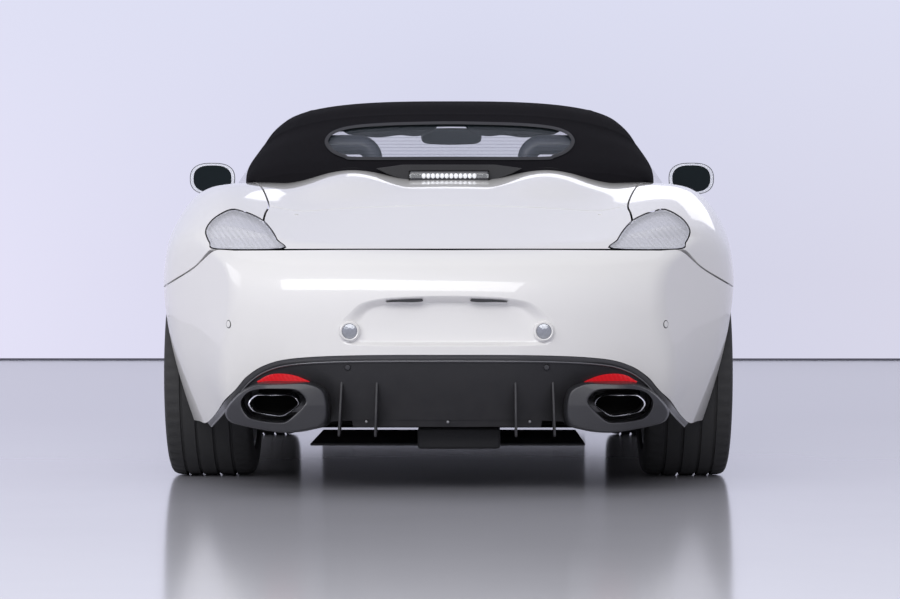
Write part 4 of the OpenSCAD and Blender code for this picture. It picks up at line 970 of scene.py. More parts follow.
@dataclass
class BodyShell:
    """The painted panels, each a tile of the skin cut along its shut lines."""

    shop: Workshop
    front_arch: float = 351.0
    rear_arch: float = 354.0
    front_pivot: tuple[float, float] = (846.0, 826.0)
    rear_pivot: tuple[float, float] = (-1440.0, 806.0)

    def build(self) -> None:
        """Build every painted panel."""
        self.rear_bumper()
        self.front_bumper()
        self.rear_wings()
        self.front_wings()
        self.doors()
        self.lids()
        self.sills()

    def rear_bumper(self) -> None:
        """Rear bumper with its plate recess."""
        s = SKIN
        low = both([(0, 412), *[s.aft(x, z) for x, z in BUMPER_LOW[1:]], (64, 192), (75, 190)])
        high = both([(0, 716), *[s.aft(x, z) for x, z in BUMPER_TOP[1:4]],
                *[s.end(y, z - GAP - 1) for y, z in REAR_SPLIT[4:0:-1]]])
        panel = tile(Way.REAR, low, high, 230, 44, 12)
        recess = PlateRecess.outline()
        panel = carved(panel, [*drums(REAR_AXLE, self.rear_arch, 330), *pair(LAMP, Axis.Y, -2300, -1300, GAP / 2),
                               prism(recess, Axis.Y, -2400, -1900)])
        self.shop.piece("rear_bumper_skin", panel, PAINT, replaces=["rear_bumper"], slot="body_paint", bevel=1.6)

    def front_bumper(self) -> None:
        """Front bumper with a middle and two corner intakes."""
        s = SKIN
        low = both([(0, 150), (15, 150), (30, 152), (45, 160), (60, 175), (77, 190)])
        high = both([(0, 612), s.fore(250, 610), s.fore(430, 602),
                *[s.end(y, z - GAP - 1) for y, z in FRONT_SPLIT[5::-1]]])
        middle = [(-280, 300), (280, 300), (305, 275), (290, 200), (-290, 200), (-305, 275)]
        corner = [(440, 315), (640, 330), (668, 290), (640, 205), (470, 190), (430, 230)]
        panel = carved(tile(Way.FRONT, low, high, 200, 40, 12), [
            *drums(FRONT_AXLE, self.front_arch, 323), prism(rounded(middle), Axis.Y, 1800, 2300),
            *[m for m in (prism(rounded(corner), Axis.Y, 1500, 2300),
                    mirrored(prism(rounded(corner), Axis.Y, 1500, 2300), False))],
            *pair(HEAD, Axis.Z, 400, 1000, GAP / 2)])
        self.shop.piece("front_bumper_skin", panel, PAINT, replaces=["front_bumper"], slot="body_paint",
            bevel=1.6)
        mesh = tile(Way.FRONT, both([(0, 175), (36, 180), (58, 190)]), both([(0, 335), (36, 338), (58, 345)]), 90,
            14, 4, 34)
        self.shop.piece("front_intake_mesh", mesh, MESH_BLACK, slot="black_trim")
        bars = []
        for k in range(5):
            z = 212 + 22 * k
            bars.append(tile(Way.FRONT, both([(0, z), (17, z)]), both([(0, z + 6), (17, z + 6)]), 50, 2, 12, 12))
        for k in range(4):
            z = 216 + 26 * k
            bars += [mirrored(tile(Way.FRONT, [(26.5, z), (36, z + 2), (46, z + 4)],
                        [(26.5, z + 7), (36, z + 9), (46, z + 11)], 26, 2, 12, 16))]
        self.shop.piece("front_intake_bars", joined(bars), GLOSS_BLACK, slot="black_trim", bevel=1.0)
        fogs = [drum((x, SKIN.point(Way.FORE, 545, 262)[0, 1] - 22, 262), 30, 26, Axis.Y, 48) for x in (-545,
                545)]
        self.shop.piece("front_fog_lamps", joined(fogs), LED, slot="clear_lens", bevel=3.0)

    def rear_wings(self) -> None:
        """Rear wings with their side intakes."""
        s = SKIN
        low = [s.side(DOOR_REAR - GAP, DOOR_LOW - 2), s.side(-800, 238), s.side(-1000, 330),
            *[s.side(y, z) for y, z in REAR_SPLIT],
               s.top(570, -2020)]
        high = [(DOOR_REAR - GAP, s.top(671, -505)[1]),
            *[s.top(x + 3, y) for x, y in DECK_LINE if -2000 < y < -600], s.top(512, -2020)]
        panel = carved(tile(Way.SIDE, low, high, 120, 60, 12), [
            drum((810, REAR_AXLE, 330), self.rear_arch, 500, Axis.X, 160),
            prism(rounded(offset(LAMP, GAP / 2), 4), Axis.Y, -2300, -1300),
            prism(rounded([(-745, 575), (-655, 560), (-640, 600), (-652, 700), (-690, 738), (-740, 700)]), Axis.X,
                700, 960),
            brick((400, -2100, 600), (700, -1872, 719))])
        self.shop.piece("rear_wing_skins", mirrored(panel), PAINT, replaces=["rear_wings"], slot="body_paint",
            bevel=1.6)
        vane = tile(Way.SIDE, [s.side(-745, 560), s.side(-640, 560)], [s.side(-745, 740), s.side(-640, 740)], 10,
            16, 6, 42)
        slats = [vane]
        for z in (592, 624, 656, 688):
            slats.append(tile(Way.SIDE, [s.side(-742, z), s.side(-650, z)],
                    [s.side(-742, z + 6), s.side(-650, z + 6)], 8, 1, 26, 14))
        self.shop.piece("side_intake_slats", mirrored(joined(slats)), GLOSS_BLACK, slot="black_trim")

    def front_wings(self) -> None:
        """Front wings."""
        s = SKIN
        low = [s.side(DOOR_FRONT + GAP + 2, DOOR_LOW), s.side(900, 240), s.side(1100, 300),
            *[s.side(y, z) for y, z in FRONT_SPLIT]]
        high = [s.top(x + 3, y) for x, y in WING_LINE]
        panel = carved(tile(Way.SIDE, low, high, 110, 56, 10), [
            drum((810, FRONT_AXLE, 323), self.front_arch, 500, Axis.X, 160),
            prism(rounded(offset(HEAD, GAP / 2), 4), Axis.Z, 400, 1000)])
        self.shop.piece("front_wing_skins", mirrored(panel), PAINT, replaces=["front_wings"], slot="body_paint",
            bevel=1.6)
        repeater = tile(Way.SIDE, [s.side(860, 640), s.side(925, 642)], [s.side(865, 662), s.side(920, 662)], 10,
            4, 4, -1.5)
        self.shop.piece("side_repeaters", mirrored(repeater), AMBER, slot="clear_lens", bevel=1.0)

    def doors(self) -> None:
        """Both doors: outer skin, lining, handle and waist seal."""
        s = SKIN
        ys = (DOOR_REAR, -150.0, 250.0, DOOR_FRONT)
        for left, body, node in ((True, "left_door_body", "left_door"), (False, "right_door_body", "right_door")):
            skin = tile(Way.SIDE, [s.side(y, DOOR_LOW) for y in ys], [s.top(782, y) for y in ys], 90, 48, 14)
            skin = carved(skin, [brick((860, -425, 742), (960, -250, 790), 12)])
            lining = carved(tile(Way.SIDE, [s.side(y + (12 if y < 0 else -12), DOOR_LOW + 10) for y in ys],
                                 [s.top(781, y + (12 if y < 0 else -12)) for y in ys], 40, 24, 94, 15),
                            [brick((600, -600, 500), (771, 800, 560), 10)])
            cup = tile(Way.SIDE, [s.side(-432, 735), s.side(-243, 735)], [s.side(-432, 797), s.side(-243, 797)],
                14, 8, 4, 22)
            grip = tile(Way.SIDE, [s.side(-418, 757), s.side(-256, 757)], [s.side(-418, 776), s.side(-256, 776)],
                30, 4, 14, -1)
            seal = [(x, y, z) for y in np.linspace(-470, 600, 30) for x,
                z in [(775.0, float(s.top_z(778, y)) + 1)]]
            parts = [("skin", skin, PAINT, "body_paint", [node]), ("lining", lining, MOULDED, "cabin_trim", []),
                     ("handle_cup", cup, PAINT, "body_paint", []), ("handle", grip, PAINT, "body_paint", []),
                     ("waist_seal", tube(seal, 5, 10), SEAL, "black_trim", [])]
            for name, bm, finish, slot, nodes in parts:
                bm = mirrored(bm, keep=False) if left else bm
                self.shop.piece(f"{node}_{name}", bm, finish, body, nodes, slot,
                    bevel=1.4 if name == "skin" else 0)

    def lids(self) -> None:
        """Front lid, rear lid and roof lid."""
        front_y = (780, 1000, 1250, 1500, 1700, 1850, 1945)
        front = carved(tile(Way.TOP, [(-640, y) for y in front_y], [(640, y) for y in front_y], 90, 100, 14),
                       [lid_prism(LID_LINE, GAP / 2 + 2, 800, 1932)], "INTERSECT")
        front = carved(front, [*pair(HEAD, Axis.Z, 300, 1200, GAP / 2),
                drum((0, *self.front_pivot), 62, 1800, Axis.X, 96)])
        self.shop.piece("front_lid_skin", joined([front, self.arms(self.front_pivot, -1, 30)]), PAINT,
            "front_lid_body", ["front_lid"],
                        "body_paint", bevel=1.6)
        xs = (-560, -480, -360, -180, 0, 180, 360, 480, 560)
        rear = carved(tile(Way.TOP, [(x, -1440) for x in xs],
                [(x, -2065 + 150 * abs(x / 600) ** 2.4) for x in xs], 110, 70, 14),
                      [lid_prism(DECK_LINE, GAP / 2 + 0.5, -1441, -2075)], "INTERSECT")
        rear = carved(rear, [drum((0, *self.rear_pivot), 85, 1800, Axis.X, 96),
                brick((-900, -2300, 300), (900, -1700, 721)),
                             *pair(LAMP, Axis.Y, -2300, -1300, GAP / 2)])
        self.shop.piece("rear_lid_skin", joined([rear, self.arms(self.rear_pivot, 1, 26)]), PAINT,
            "rear_lid_body", ["rear_lid"],
                        "body_paint", bevel=1.6)
        ys = (-650, -850, -1080, -1300, -1520)
        deck = [tile(Way.TOP, [(-660, y) for y in ys], [(660, y) for y in ys], 90, 150, 14)]
        deck = carved(deck[0], [lid_prism(DECK_LINE, GAP / 2 + 0.5, -645, -1518)], "INTERSECT")
        nose = carved(brick((-900, -1600, 300), (900, self.rear_pivot[0], 1200)),
            [drum((0, *self.rear_pivot), 80, 2000, Axis.X, 96)])
        deck = carved(deck, [nose, brick((-132, -1092, 948), (132, -1040, 1100))])
        self.shop.piece("roof_lid_skin", deck, PAINT, replaces=["roof_lid"], slot="body_paint", bevel=1.6)

    def arms(self, at: tuple[float, float], way: int, lift: float) -> bmesh.types.BMesh:
        """Goose-neck arms of a lid, as in the frame's own."""
        path = [(0, 0), (-42, -56), (-84, -54), (-120, -14), (-124, lift)]
        arms = []
        for x in (-470, 470):
            points = [(x, at[0] + way * a, at[1] + b) for a, b in path]
            arms.append(tube(points, 7, 12))
        return joined(arms)

    def sills(self) -> None:
        """Dark sills under the doors."""
        s = SKIN
        ys = (-900, -600, -300, 0, 300, 600, 900)
        sill = carved(tile(Way.SIDE, [s.side(y, 118) for y in ys], [s.side(y, 226) for y in ys], 80, 12, 18, 6),
                      [drum((810, REAR_AXLE, 330), self.rear_arch, 500, Axis.X, 128),
                          drum((810, FRONT_AXLE, 323), self.front_arch, 500, Axis.X, 128)])
        self.shop.piece("sill_trims", mirrored(sill), DARK_GREY, replaces=["sills"], slot="black_trim", bevel=2.0)


# ------------------------------------------------------------------ tail
@dataclass
class PlateRecess:
    """The arched number-plate recess, left bare, with its lamps."""

    shop: Workshop

    @staticmethod
    def outline(inner: bool = False) -> list[tuple[float, float]]:
        """Outline of the recess where it meets the bumper, or of its floor."""
        half = [(0, 583.5), (100, 581.5), (180, 576), (237, 565), (266, 548), (303, 510), (317, 480), (312, 456),
            (293, 443), (250, 438), (120, 436)]
        if inner:
            half = [(0, 561), (95, 559.5), (160, 556), (203, 549), (228, 534), (250, 506), (257, 480), (256, 466),
                (248, 456), (225, 451), (110, 449)]
        right = rounded([*half, *[(-x, z) for x, z in reversed(half[1:])]], 3)
        return right

    def build(self) -> None:
        """Build the dish, its slots and its round lamps."""
        rim, floor = np.array(self.outline()), np.array(self.outline(True))
        n = len(rim)
        edge = SKIN.point(Way.AFT, np.maximum(np.abs(rim[:, 0]), 0.5), rim[:, 1])
        edge[:, 0] = rim[:, 0]
        deep = np.stack([floor[:, 0], np.full(n, -2121.0), floor[:, 1]], 1)

        def place(u: Points, v: Points) -> Points:
            """Wall from the rim to the floor, rounded at both ends."""
            i = np.rint(u * n).astype(int) % n
            t = v * v * (3 - 2 * v)
            p = edge[i] + (deep[i] - edge[i]) * np.stack([v, t, v], 1)
            return p + np.stack([0 * v, 0.4 * (1 - v), 0 * v], 1)

        wall = sheet_on(n, 10, place)
        bmesh.ops.remove_doubles(wall, verts=wall.verts[:], dist=1e-5)
        loop = [e for e in wall.edges if e.is_boundary and all(abs(v.co.y + 2.121) < 1e-4 for v in e.verts)]
        bmesh.ops.contextual_create(wall, geom=loop)
        bmesh.ops.recalc_face_normals(wall, faces=wall.faces[:])
        facing(wall, lambda c: Vector((0, -1, 0)))
        self.shop.piece("plate_recess_dish", wall, PAINT, slot="body_paint", sharp=50)
        slots = []
        for s in (-1, 1):
            shape = [(s * x, z) for x,
                z in ((70, 567), (76, 575.5), (108, 574), (150, 569), (176, 564.5), (140, 565), (100, 564.5))]
            slots.append(prism(rounded(shape, 4), Axis.Y, -2152, -2128))
        self.shop.piece("plate_lamp_slots", joined(slots), POD_GREY, slot="clear_lens")
        rings, lenses = [], []
        for x in (-282, 282):
            y = SKIN.point(Way.AFT, 282, 480)[0, 1]
            rings.append(lathe_y([(22.5, 0), (22.5, -5), (25.5, -6.5), (29, -3), (31, 4), (31, 18), (22.5, 18)],
                    64, (x, y, 480)))
            lenses.append(lathe_y([(0, -5.5), (12, -4.6), (22, -2), (22.4, 3), (0, 3)], 64, (x, y, 480)))
        self.shop.piece("reverse_lamp_seats", joined(rings), PAINT, slot="body_paint")
        self.shop.piece("reverse_lamp_lenses", joined(lenses), REVERSE, slot="clear_lens")


REVERSE = Finish("cut_reverse_lens", (0.34, 0.355, 0.39), 0.18, Texture.GRAIN, 150.0, 1.0, 0.3, 0.1,
    metallic=0.35, coat=1.0)


def lathe_y(profile: Line, segments: int, centre: Sequence[float]) -> bmesh.types.BMesh:
    """Spin a profile of radius and distance along y about the y axis through a centre.

    Args:
        profile: radius and y, in millimetres; an end at radius 0 closes on the axis.
        segments: steps round.
        centre: a point of the axis.

    Returns:
        A closed shape.
    """
    bm = bmesh.new()
    verts = [bm.verts.new((r * MM, y * MM, 0)) for r, y in profile]
    edges = [bm.edges.new((a, b)) for a, b in zip(verts, verts[1:])]
    if profile[0][0] > 0 and profile[-1][0] > 0:
        edges.append(bm.edges.new((verts[-1], verts[0])))
    bmesh.ops.spin(bm, geom=verts + edges, cent=(0, 0, 0), axis=(0, 1, 0), angle=2 * math.pi, steps=segments,
        use_merge=True)
    bmesh.ops.remove_doubles(bm, verts=bm.verts[:], dist=1e-6)
    bmesh.ops.recalc_face_normals(bm, faces=bm.faces[:])
    bmesh.ops.translate(bm, vec=Vector(centre) * MM, verts=bm.verts[:])
    return bm


def on_skin(x: float, z: float, radius: float, thick: float, segments: int = 32) -> bmesh.types.BMesh:
    """Disc that lies on the rear skin at x and z, a little proud, in millimetres."""
    p = SKIN.point(Way.AFT, abs(x), z)
    n = SKIN.normal(p)[0]
    p = p[0]
    if x < 0:
        p[0], n[0] = -p[0], -n[0]
    bm = bmesh.new()
    bmesh.ops.create_cone(bm, cap_ends=True, segments=segments, radius1=radius * MM, radius2=radius * 0.86 * MM,
        depth=thick * MM)
    turn = Vector((0, 0, 1)).rotation_difference(Vector(n)).to_matrix().to_4x4()
    bmesh.ops.transform(bm, matrix=Matrix.Translation(Vector(p) * MM) @ turn, verts=bm.verts[:])
    return bm


@dataclass
class Tail:
    """Black trim, diffuser, tailpipe surrounds, tips, reflectors and lamps."""

    shop: Workshop
    pipe_x: float = 504.0
    pipe_z: float = 263.0

    def build(self) -> None:
        """Build the tail's pieces."""
        self.trim_strip()
        self.diffuser()
        self.pods()
        self.tips()
        self.reflectors()
        self.lamps()
        self.stop_lamp()
        sensors = [on_skin(x, 498, 11, 3.2) for x in (-647, 647)]
        self.shop.piece("parking_sensors", joined(sensors), PAINT, slot="body_paint", bevel=0.8)
        rings = [on_skin(x, 498, 13.2, 1.6) for x in (-647, 647)]
        self.shop.piece("parking_sensor_rings", joined(rings), POD_GREY, slot="black_trim")

    def arch(self, drop: float, n: int = 60) -> list[tuple[float, float]]:
        """Lower edge of the white bumper, moved inwards by drop, right half."""
        line = spread(BUMPER_LOW, n)
        along = np.gradient(line, axis=0)
        along /= np.linalg.norm(along, axis=1, keepdims=True)
        normal = np.stack([along[:, 1], -along[:, 0]], 1)
        moved = line + normal * drop
        moved[:, 0] = np.maximum(moved[:, 0], 0)
        return [tuple(p) for p in moved]

    def trim_strip(self) -> None:
        """Gloss black strip that follows the bumper's lower edge, with a bright lower lip."""
        def ribbon(outer: float, inner: float, out_y: float, in_y: float, bulge: float) -> bmesh.types.BMesh:
            """Ribbon between two offsets of the arch, at two depths below the skin."""
            n = 90
            a, b = np.array(self.arch(outer, n)), np.array(self.arch(inner, n))
            pa, pb = (SKIN.point(Way.AFT, q[:, 0], q[:, 1]) for q in (a, b))

            def place(u: Points, v: Points) -> Points:
                """Point across the ribbon, mirrored for the left half."""
                k = np.abs(u * 2 - 1) * n
                i = np.rint(k).astype(int)
                p = pa[i] + (pb[i] - pa[i]) * v[:, None]
                p[:, 1] += out_y + (in_y - out_y) * v - bulge * np.sin(math.pi * v)
                p[:, 0] *= np.sign(u - 0.5 + 1e-9)
                return p
            bm = sheet_on(2 * n, 5, place)
            facing(bm, lambda c: Vector((0, -1, 0)))
            bmesh.ops.solidify(bm, geom=bm.faces[:], thickness=3 * MM)
            return bm

        self.shop.piece("bumper_trim_strip", ribbon(1.5, 17.5, 5, 6, 1.5), GLOSS_BLACK, slot="black_trim",
            sharp=60)
        self.shop.piece("bumper_trim_lip", ribbon(17.0, 21.5, 3.5, 8, 2.5), TRIM_EDGE, slot="black_trim",
            sharp=60)

    def diffuser(self) -> None:
        """Dark lower panel with four upright fins and a lip."""
        s = SKIN
        low = both([(0, 214), (8, 214), (16, 212), (24, 206), (31, 196), (35.5, 188)])
        high = both([(0, 404), s.aft(180, 403), s.aft(446, 391), s.aft(560, 352), s.aft(630, 291),
                s.aft(670, 236)])
        holes = [prism(softened([(s1 * (self.pipe_x + x), self.pipe_z + z) for x, z in OPENING], 14), Axis.Y,
                -2300, -1700) for s1 in (-1, 1)]
        panel = carved(tile(Way.REAR, low, high, 120, 26, 8, 12), holes)
        self.shop.piece("diffuser_panel", panel, DARK_GREY, replaces=["diffuser"], slot="black_trim", bevel=1.0)
        lip = tile(Way.REAR, both([(0, 190), (12, 190), (18.5, 188)]), both([(0, 213), (12, 213), (18.5, 211)]),
            70, 6, 26, 16)
        self.shop.piece("diffuser_lip", lip, DARK_GREY, slot="black_trim", bevel=2.0)
        fins = []
        for x, lean in ((-306, 9), (-203, 5), (200, -2), (309, -6)):
            y0 = float(SKIN.point(Way.AFT, abs(x), 300)[0, 1])
            side = [(y0 + 30, 352), (y0 + 8, 346), (y0 - 2, 320), (y0 - 14, 240), (y0 - 20, 176), (y0 + 6, 171),
                (y0 + 70, 176), (y0 + 80, 352)]
            fin = prism(side, Axis.X, x - 3.5, x + 3.5)
            for v in fin.verts:
                v.co.x += lean * MM * (v.co.z / MM - 352) / 176
            bmesh.ops.bevel(fin, geom=fin.edges[:], offset=1.6 * MM, segments=3, profile=0.5, affect="EDGES",
                material=-1, clamp_overlap=True)
            fins.append(fin)
        self.shop.piece("diffuser_fins", joined(fins), DARK_GREY, slot="black_trim")
        studs = [lathe_y([(0, -3), (3.4, -2.2), (4.6, 0), (4.6, 6), (0, 6)], 20,
                (x, float(SKIN.point(Way.AFT, abs(x) + 0.5, 214)[0, 1]) + 9, 213.5))
                 for x in (-236, 3, 243)]
        self.shop.piece("diffuser_studs", joined(studs), STEEL, slot="exhaust_steel")
        eyes = [lathe_y([(0, -4), (7, -3.4), (9, -1), (9.6, 4), (0, 4)], 32,
                (x, float(SKIN.point(Way.AFT, 289, 374)[0, 1]) + 10, 374.5))
                for x in (-289, 291)]
        self.shop.piece("diffuser_sensors", joined(eyes), POD_GREY, slot="black_trim")

    def pods(self) -> None:
        """Surround of each tailpipe: a blunt pod with an oval mouth, its upper inner corner chamfered."""
        outer, mouth = np.array(softened(POD, 22, 8)), np.array(softened(OPENING, 16, 8))

        def matched(shape: Points, n: int) -> Points:
            """Points of a closed outline at even angles about the pipe."""
            angle = np.unwrap(np.arctan2(shape[:, 1], shape[:, 0]))
            order = np.argsort(np.mod(angle, 2 * math.pi))
            a, p = np.mod(angle, 2 * math.pi)[order], shape[order]
            t = np.linspace(0, 2 * math.pi, n, endpoint=False)
            return np.stack([np.interp(t, a, p[:, k], period=2 * math.pi) for k in (0, 1)], 1)

        n = 200
        o, m = matched(outer, n), matched(mouth, n)

        def face_y(x: Points, z: Points) -> Points:
            """Depth of the pod's rear face, falling away outwards and at its top."""
            return -2124 + 0.22 * np.maximum(x - 20, 0) + 0.0016 * np.maximum(x + 40,
                0) ** 2 + 0.10 * np.maximum(z, 0) + 0.0009 * np.minimum(x + 60, 0) ** 2

        def place(u: Points, v: Points) -> Points:
            """From the hidden root, over the shoulder and the face, round the lip and into the mouth."""
            i = np.rint(u * n).astype(int) % n
            knots = np.array([0, 0.28, 0.36, 0.44, 0.78, 0.84, 0.9, 1.0])
            share = np.interp(v, knots, [0, 0.0, 0.03, 0.10, 0.93, 0.985, 1.0, 1.0])
            back = np.interp(v, knots, [150, 26, 9, 2, 0, 1.2, 7, 95])
            grow = np.interp(v, knots, [10, 2, 0, 0, 0, 0, 0, 1])
            xz = o[i] + (m[i] - o[i]) * share[:, None]
            radial = xz / np.linalg.norm(xz, axis=1)[:, None]
            xz = xz + radial * grow[:, None] * np.where(v < 0.5, 1, -1)[:, None]
            return np.stack([xz[:, 0] + self.pipe_x, face_y(xz[:, 0], xz[:, 1]) + back, xz[:, 1] + self.pipe_z],
                1)

        pod = sheet_on(n, 44, place)
        bmesh.ops.remove_doubles(pod, verts=pod.verts[:], dist=1e-6)
        facing(pod, lambda c: Vector((0, -1, 0)))
        bmesh.ops.solidify(pod, geom=pod.faces[:], thickness=2.5 * MM)
        self.shop.piece("tailpipe_pods", mirrored(pod), POD_GREY, slot="black_trim", sharp=55)

    def tips(self) -> None:
        """Rounded hexagonal chrome tips with a sooted inner pipe."""
        shape = np.array(softened(TIP, 9, 6))
        n = len(shape)

        def ring(profile: Line) -> bmesh.types.BMesh:
            """Sweep a profile of inset and y round the tip's outline."""
            prof = np.array(profile, float)
            rows = len(prof) - 1

            def place(u: Points, v: Points) -> Points:
                """Point of the profile at one place of the outline."""
                i, k = np.rint(u * n).astype(int) % n, np.rint(v * rows).astype(int)
                q = shape[i]
                unit = q / np.linalg.norm(q, axis=1)[:, None]
                q = q - unit * prof[k, 0][:, None]
                return np.stack([q[:, 0] + self.pipe_x, prof[k, 1], q[:, 1] + self.pipe_z], 1)
            bm = sheet_on(n, rows, place)
            bmesh.ops.remove_doubles(bm, verts=bm.verts[:], dist=1e-6)
            bmesh.ops.recalc_face_normals(bm, faces=bm.faces[:])
            return bm

        lip = ring([(-2, -1995), (-2, -2095), (-1.5, -2105), (0, -2110), (2.2, -2112), (4.6, -2110), (5.6, -2104),
                (6, -2085), (6, -1995), (-2, -1995)])
        self.shop.piece("tailpipe_tips", mirrored(lip), CHROME, replaces=["exhaust"], slot="exhaust_steel",
            sharp=60)
        inner = ring([(6.4, -2086), (7, -2080), (8, -2080), (9, -2000), (8, -1996), (6.6, -2000), (6.4, -2086)])
        stop = prism([(self.pipe_x + x * 0.96, self.pipe_z + z * 0.96) for x, z in shape], Axis.Y, -2004, -1998)
        inner = joined([inner, stop])
        self.shop.piece("tailpipe_bores", mirrored(inner), BURNT, slot="exhaust_steel", sharp=60)
        cans = [brick((-260, -1960, 215), (260, -1740, 350), 34, 5),
            brick((-60, -1745, 300), (60, -1690, 340), 8)]
        for s in (-1, 1):
            cans.append(tube([(s * 240, -1850, 262), (s * 380, -1850, 262), (s * 470, -1860, 262),
                        (s * 504, -1900, 262), (s * 504, -1990, 262)], 29, 24))
        self.shop.piece("silencer", joined(cans), STEEL, slot="exhaust_steel")
        self.shop.piece("under_silencer", brick((-88, -1930, 126), (158, -1700, 190), 9, 4), MESH_BLACK,
            slot="chassis_paint")
        trays = [brick((-420, -1690, 122), (420, -900, 130), 3), brick((-560, -740, 128), (560, 900, 136), 3),
            brick((-420, 1300, 118), (420, 1870, 126), 3)]
        self.shop.piece("under_trays", joined(trays), MOULDED, slot="black_trim")
        # A dark screen low under the nose that hides the lit floor seen beneath the car: painted shade.
        self.shop.piece("front_shade_screen", brick((-560, 1880, 66), (560, 1896, 236), 5, 4), MESH_BLACK,
            slot="black_trim")

    def reflectors(self) -> None:
        """Red crescent reflectors above the pods, whose lens glows as a painted highlight."""
        shape = [(402, 328), (424, 341), (448, 349), (474, 353), (505, 353), (530, 347), (551, 335), (560, 327),
            (520, 322), (460, 322)]
        lens = carved(tile(Way.REAR, [SKIN.aft(395, 308), SKIN.aft(570, 308)],
                [SKIN.aft(395, 356), SKIN.aft(570, 356)], 60, 16, 10, 5),
                      [prism(rounded(shape, 4), Axis.Y, -2300, -1700)], "INTERSECT")
        self.shop.piece("red_reflectors", mirrored(lens), REFLECTOR_PAINTED_GLOW, slot="clear_lens", bevel=1.2)

    def lamps(self) -> None:
        """Tail lamps: clear ribbed lens over a pale bowl, in a silver rim."""
        ys = (-1480, -1700, -1900, -2150)
        low, high = [(y, 30) for y in ys], [(y, 75) for y in ys]
        lens = carved(tile(Way.SIDE, low, high, 90, 50, 4, 0.5),
            [prism(rounded(offset(LAMP, -1.5), 4), Axis.Y, -2300, -1300)], "INTERSECT")
        self.shop.piece("tail_lamp_lenses", mirrored(lens), LENS, replaces=["tail_lamps"], slot="clear_lens",
            bevel=1.2)
        bowl = carved(tile(Way.SIDE, low, high, 90, 50, 12, 12),
            [prism(rounded(offset(LAMP, -2.5), 4), Axis.Y, -2300, -1300)], "INTERSECT")
        self.shop.piece("tail_lamp_bowls", mirrored(bowl), LAMP_BOWL, slot="clear_lens")
        rim = carved(tile(Way.SIDE, low, high, 90, 50, 22, 4.5),
            [prism(rounded(offset(LAMP, -1.2), 4), Axis.Y, -2300, -1300)], "INTERSECT")
        rim = carved(rim, [prism(rounded(offset(LAMP, -6), 4), Axis.Y, -2400, -1200)])
        self.shop.piece("tail_lamp_rims", mirrored(rim), LAMP_RIM, slot="clear_lens")

    def stop_lamp(self) -> None:
        """Third brake lamp: a clear strip with a row of optics in a black shroud."""
        body = brick((-128, -1086, 949), (128, -1056, 981), 5)
        self.shop.piece("stop_lamp_body", body, GLOSS_BLACK, slot="black_trim")
        valley = [(-238, 992), (-205, 975), (-165, 960), (-120, 950), (120, 950), (165, 960), (205, 975),
            (238, 992), (150, 1004), (-150, 1004)]
        shroud = carved(prism(valley, Axis.Y, -1058, -1040), [brick((-131, -1092, 940), (131, -1050, 984))])
        self.shop.piece("stop_lamp_shroud", shroud, MOULDED, slot="black_trim", bevel=1.0)
        optics = []
        for k in range(12):
            x = -82.5 + 15 * k
            dome = bmesh.new()
            bmesh.ops.create_uvsphere(dome, u_segments=20, v_segments=12, radius=6.8 * MM)
            bmesh.ops.scale(dome, vec=(1, 0.55, 1.25), verts=dome.verts[:])
            bmesh.ops.translate(dome, vec=Vector((x, -1086.5, 966)) * MM, verts=dome.verts[:])
            optics.append(dome)
        self.shop.piece("stop_lamp_optics", joined(optics), LED, slot="clear_lens")
        strip = brick((-129, -1091, 955), (129, -1086, 977.5), 2.2)
        for v in strip.verts:
            if abs(v.co.x) > 0.1:
                v.co.z = 0.966 + (v.co.z - 0.966) * 0.55
        self.shop.piece("stop_lamp_lens", strip, HEAD_LENS, replaces=["stop_lamp"], slot="clear_lens")


TRIM_EDGE = Finish("bright_trim_lip", (0.16, 0.16, 0.17), 0.18, Texture.FLAKE, 900.0, 0.02, 0.1, 0.05, coat=1.0)
LAMP_RIM = Finish("lamp_rim_silver", (0.55, 0.55, 0.6), 0.25, Texture.FLAKE, 600.0, 0.05, 0.05, 0.05,
    metallic=0.5, coat=0.6)
TIP = ((53, 31), (5, 33), (-42, 32), (-64, 25.5), (-77.5, 6.6), (-60, -11), (-33, -30), (-20, -33), (18, -29),
    (60, -18), (75, 2), (71, 15.5))
OPENING = ((66, 44), (30, 49), (-20, 49), (-58, 48), (-75, 41), (-91, 25.5), (-95, 13), (-91, 2), (-71, -18),
    (-42, -44), (-27, -50),
           (18, -48), (50, -43), (73, -38), (89, -22), (100, 0), (97.5, 15.5), (84, 33))
POD = ((50, 60), (-100, 67), (-147, 49), (-157, 14), (-160, -36), (-145, -63), (-67, -77), (-15, -77), (42, -69),
    (89, -62), (138, -52),
       (151, -25), (140, -4), (100, 36))


# ------------------------------------------------------------------ glasshouse
RIBS = ((190, 1218, 560, 160, 1160), (40, 1251, 592, 20, 1156), (-150, 1264, 614, -120, 1130),
    (-350, 1243, 643, -330, 1070),
        (-480, 1208, 662, -455, 1020), (-560, 1182, 694, -507, 950), (-700, 1132, 690, -700, 952),
        (-860, 1070, 680, -820, 949),
        (-960, 1028, 668, -880, 945), (-1036, 984, 640, -925, 941))
REAR_PANE = ((0, 1032), (300, 1032), (345, 1040), (385, 1058), (408, 1084), (410, 1104), (392, 1126), (340, 1144),
    (240, 1154), (120, 1158), (0, 1160))


def screen_at(u: Points, v: Points, out: float) -> Points:
    """Windscreen surface: u from -1 to 1 across, v from 0 at its base to 1 at its header, moved out."""
    bow = out + 10 * np.sin(math.pi * np.clip(v, 0, 1))
    return np.stack([u * (655 - 108 * v), (800 - 105 * u * u) * (1 - v) + (190 - 48 * u * u) * v + bow * 0.46,
                     893 * (1 - v) + (1212 - 34 * u * u) * v + bow * 0.88], 1)


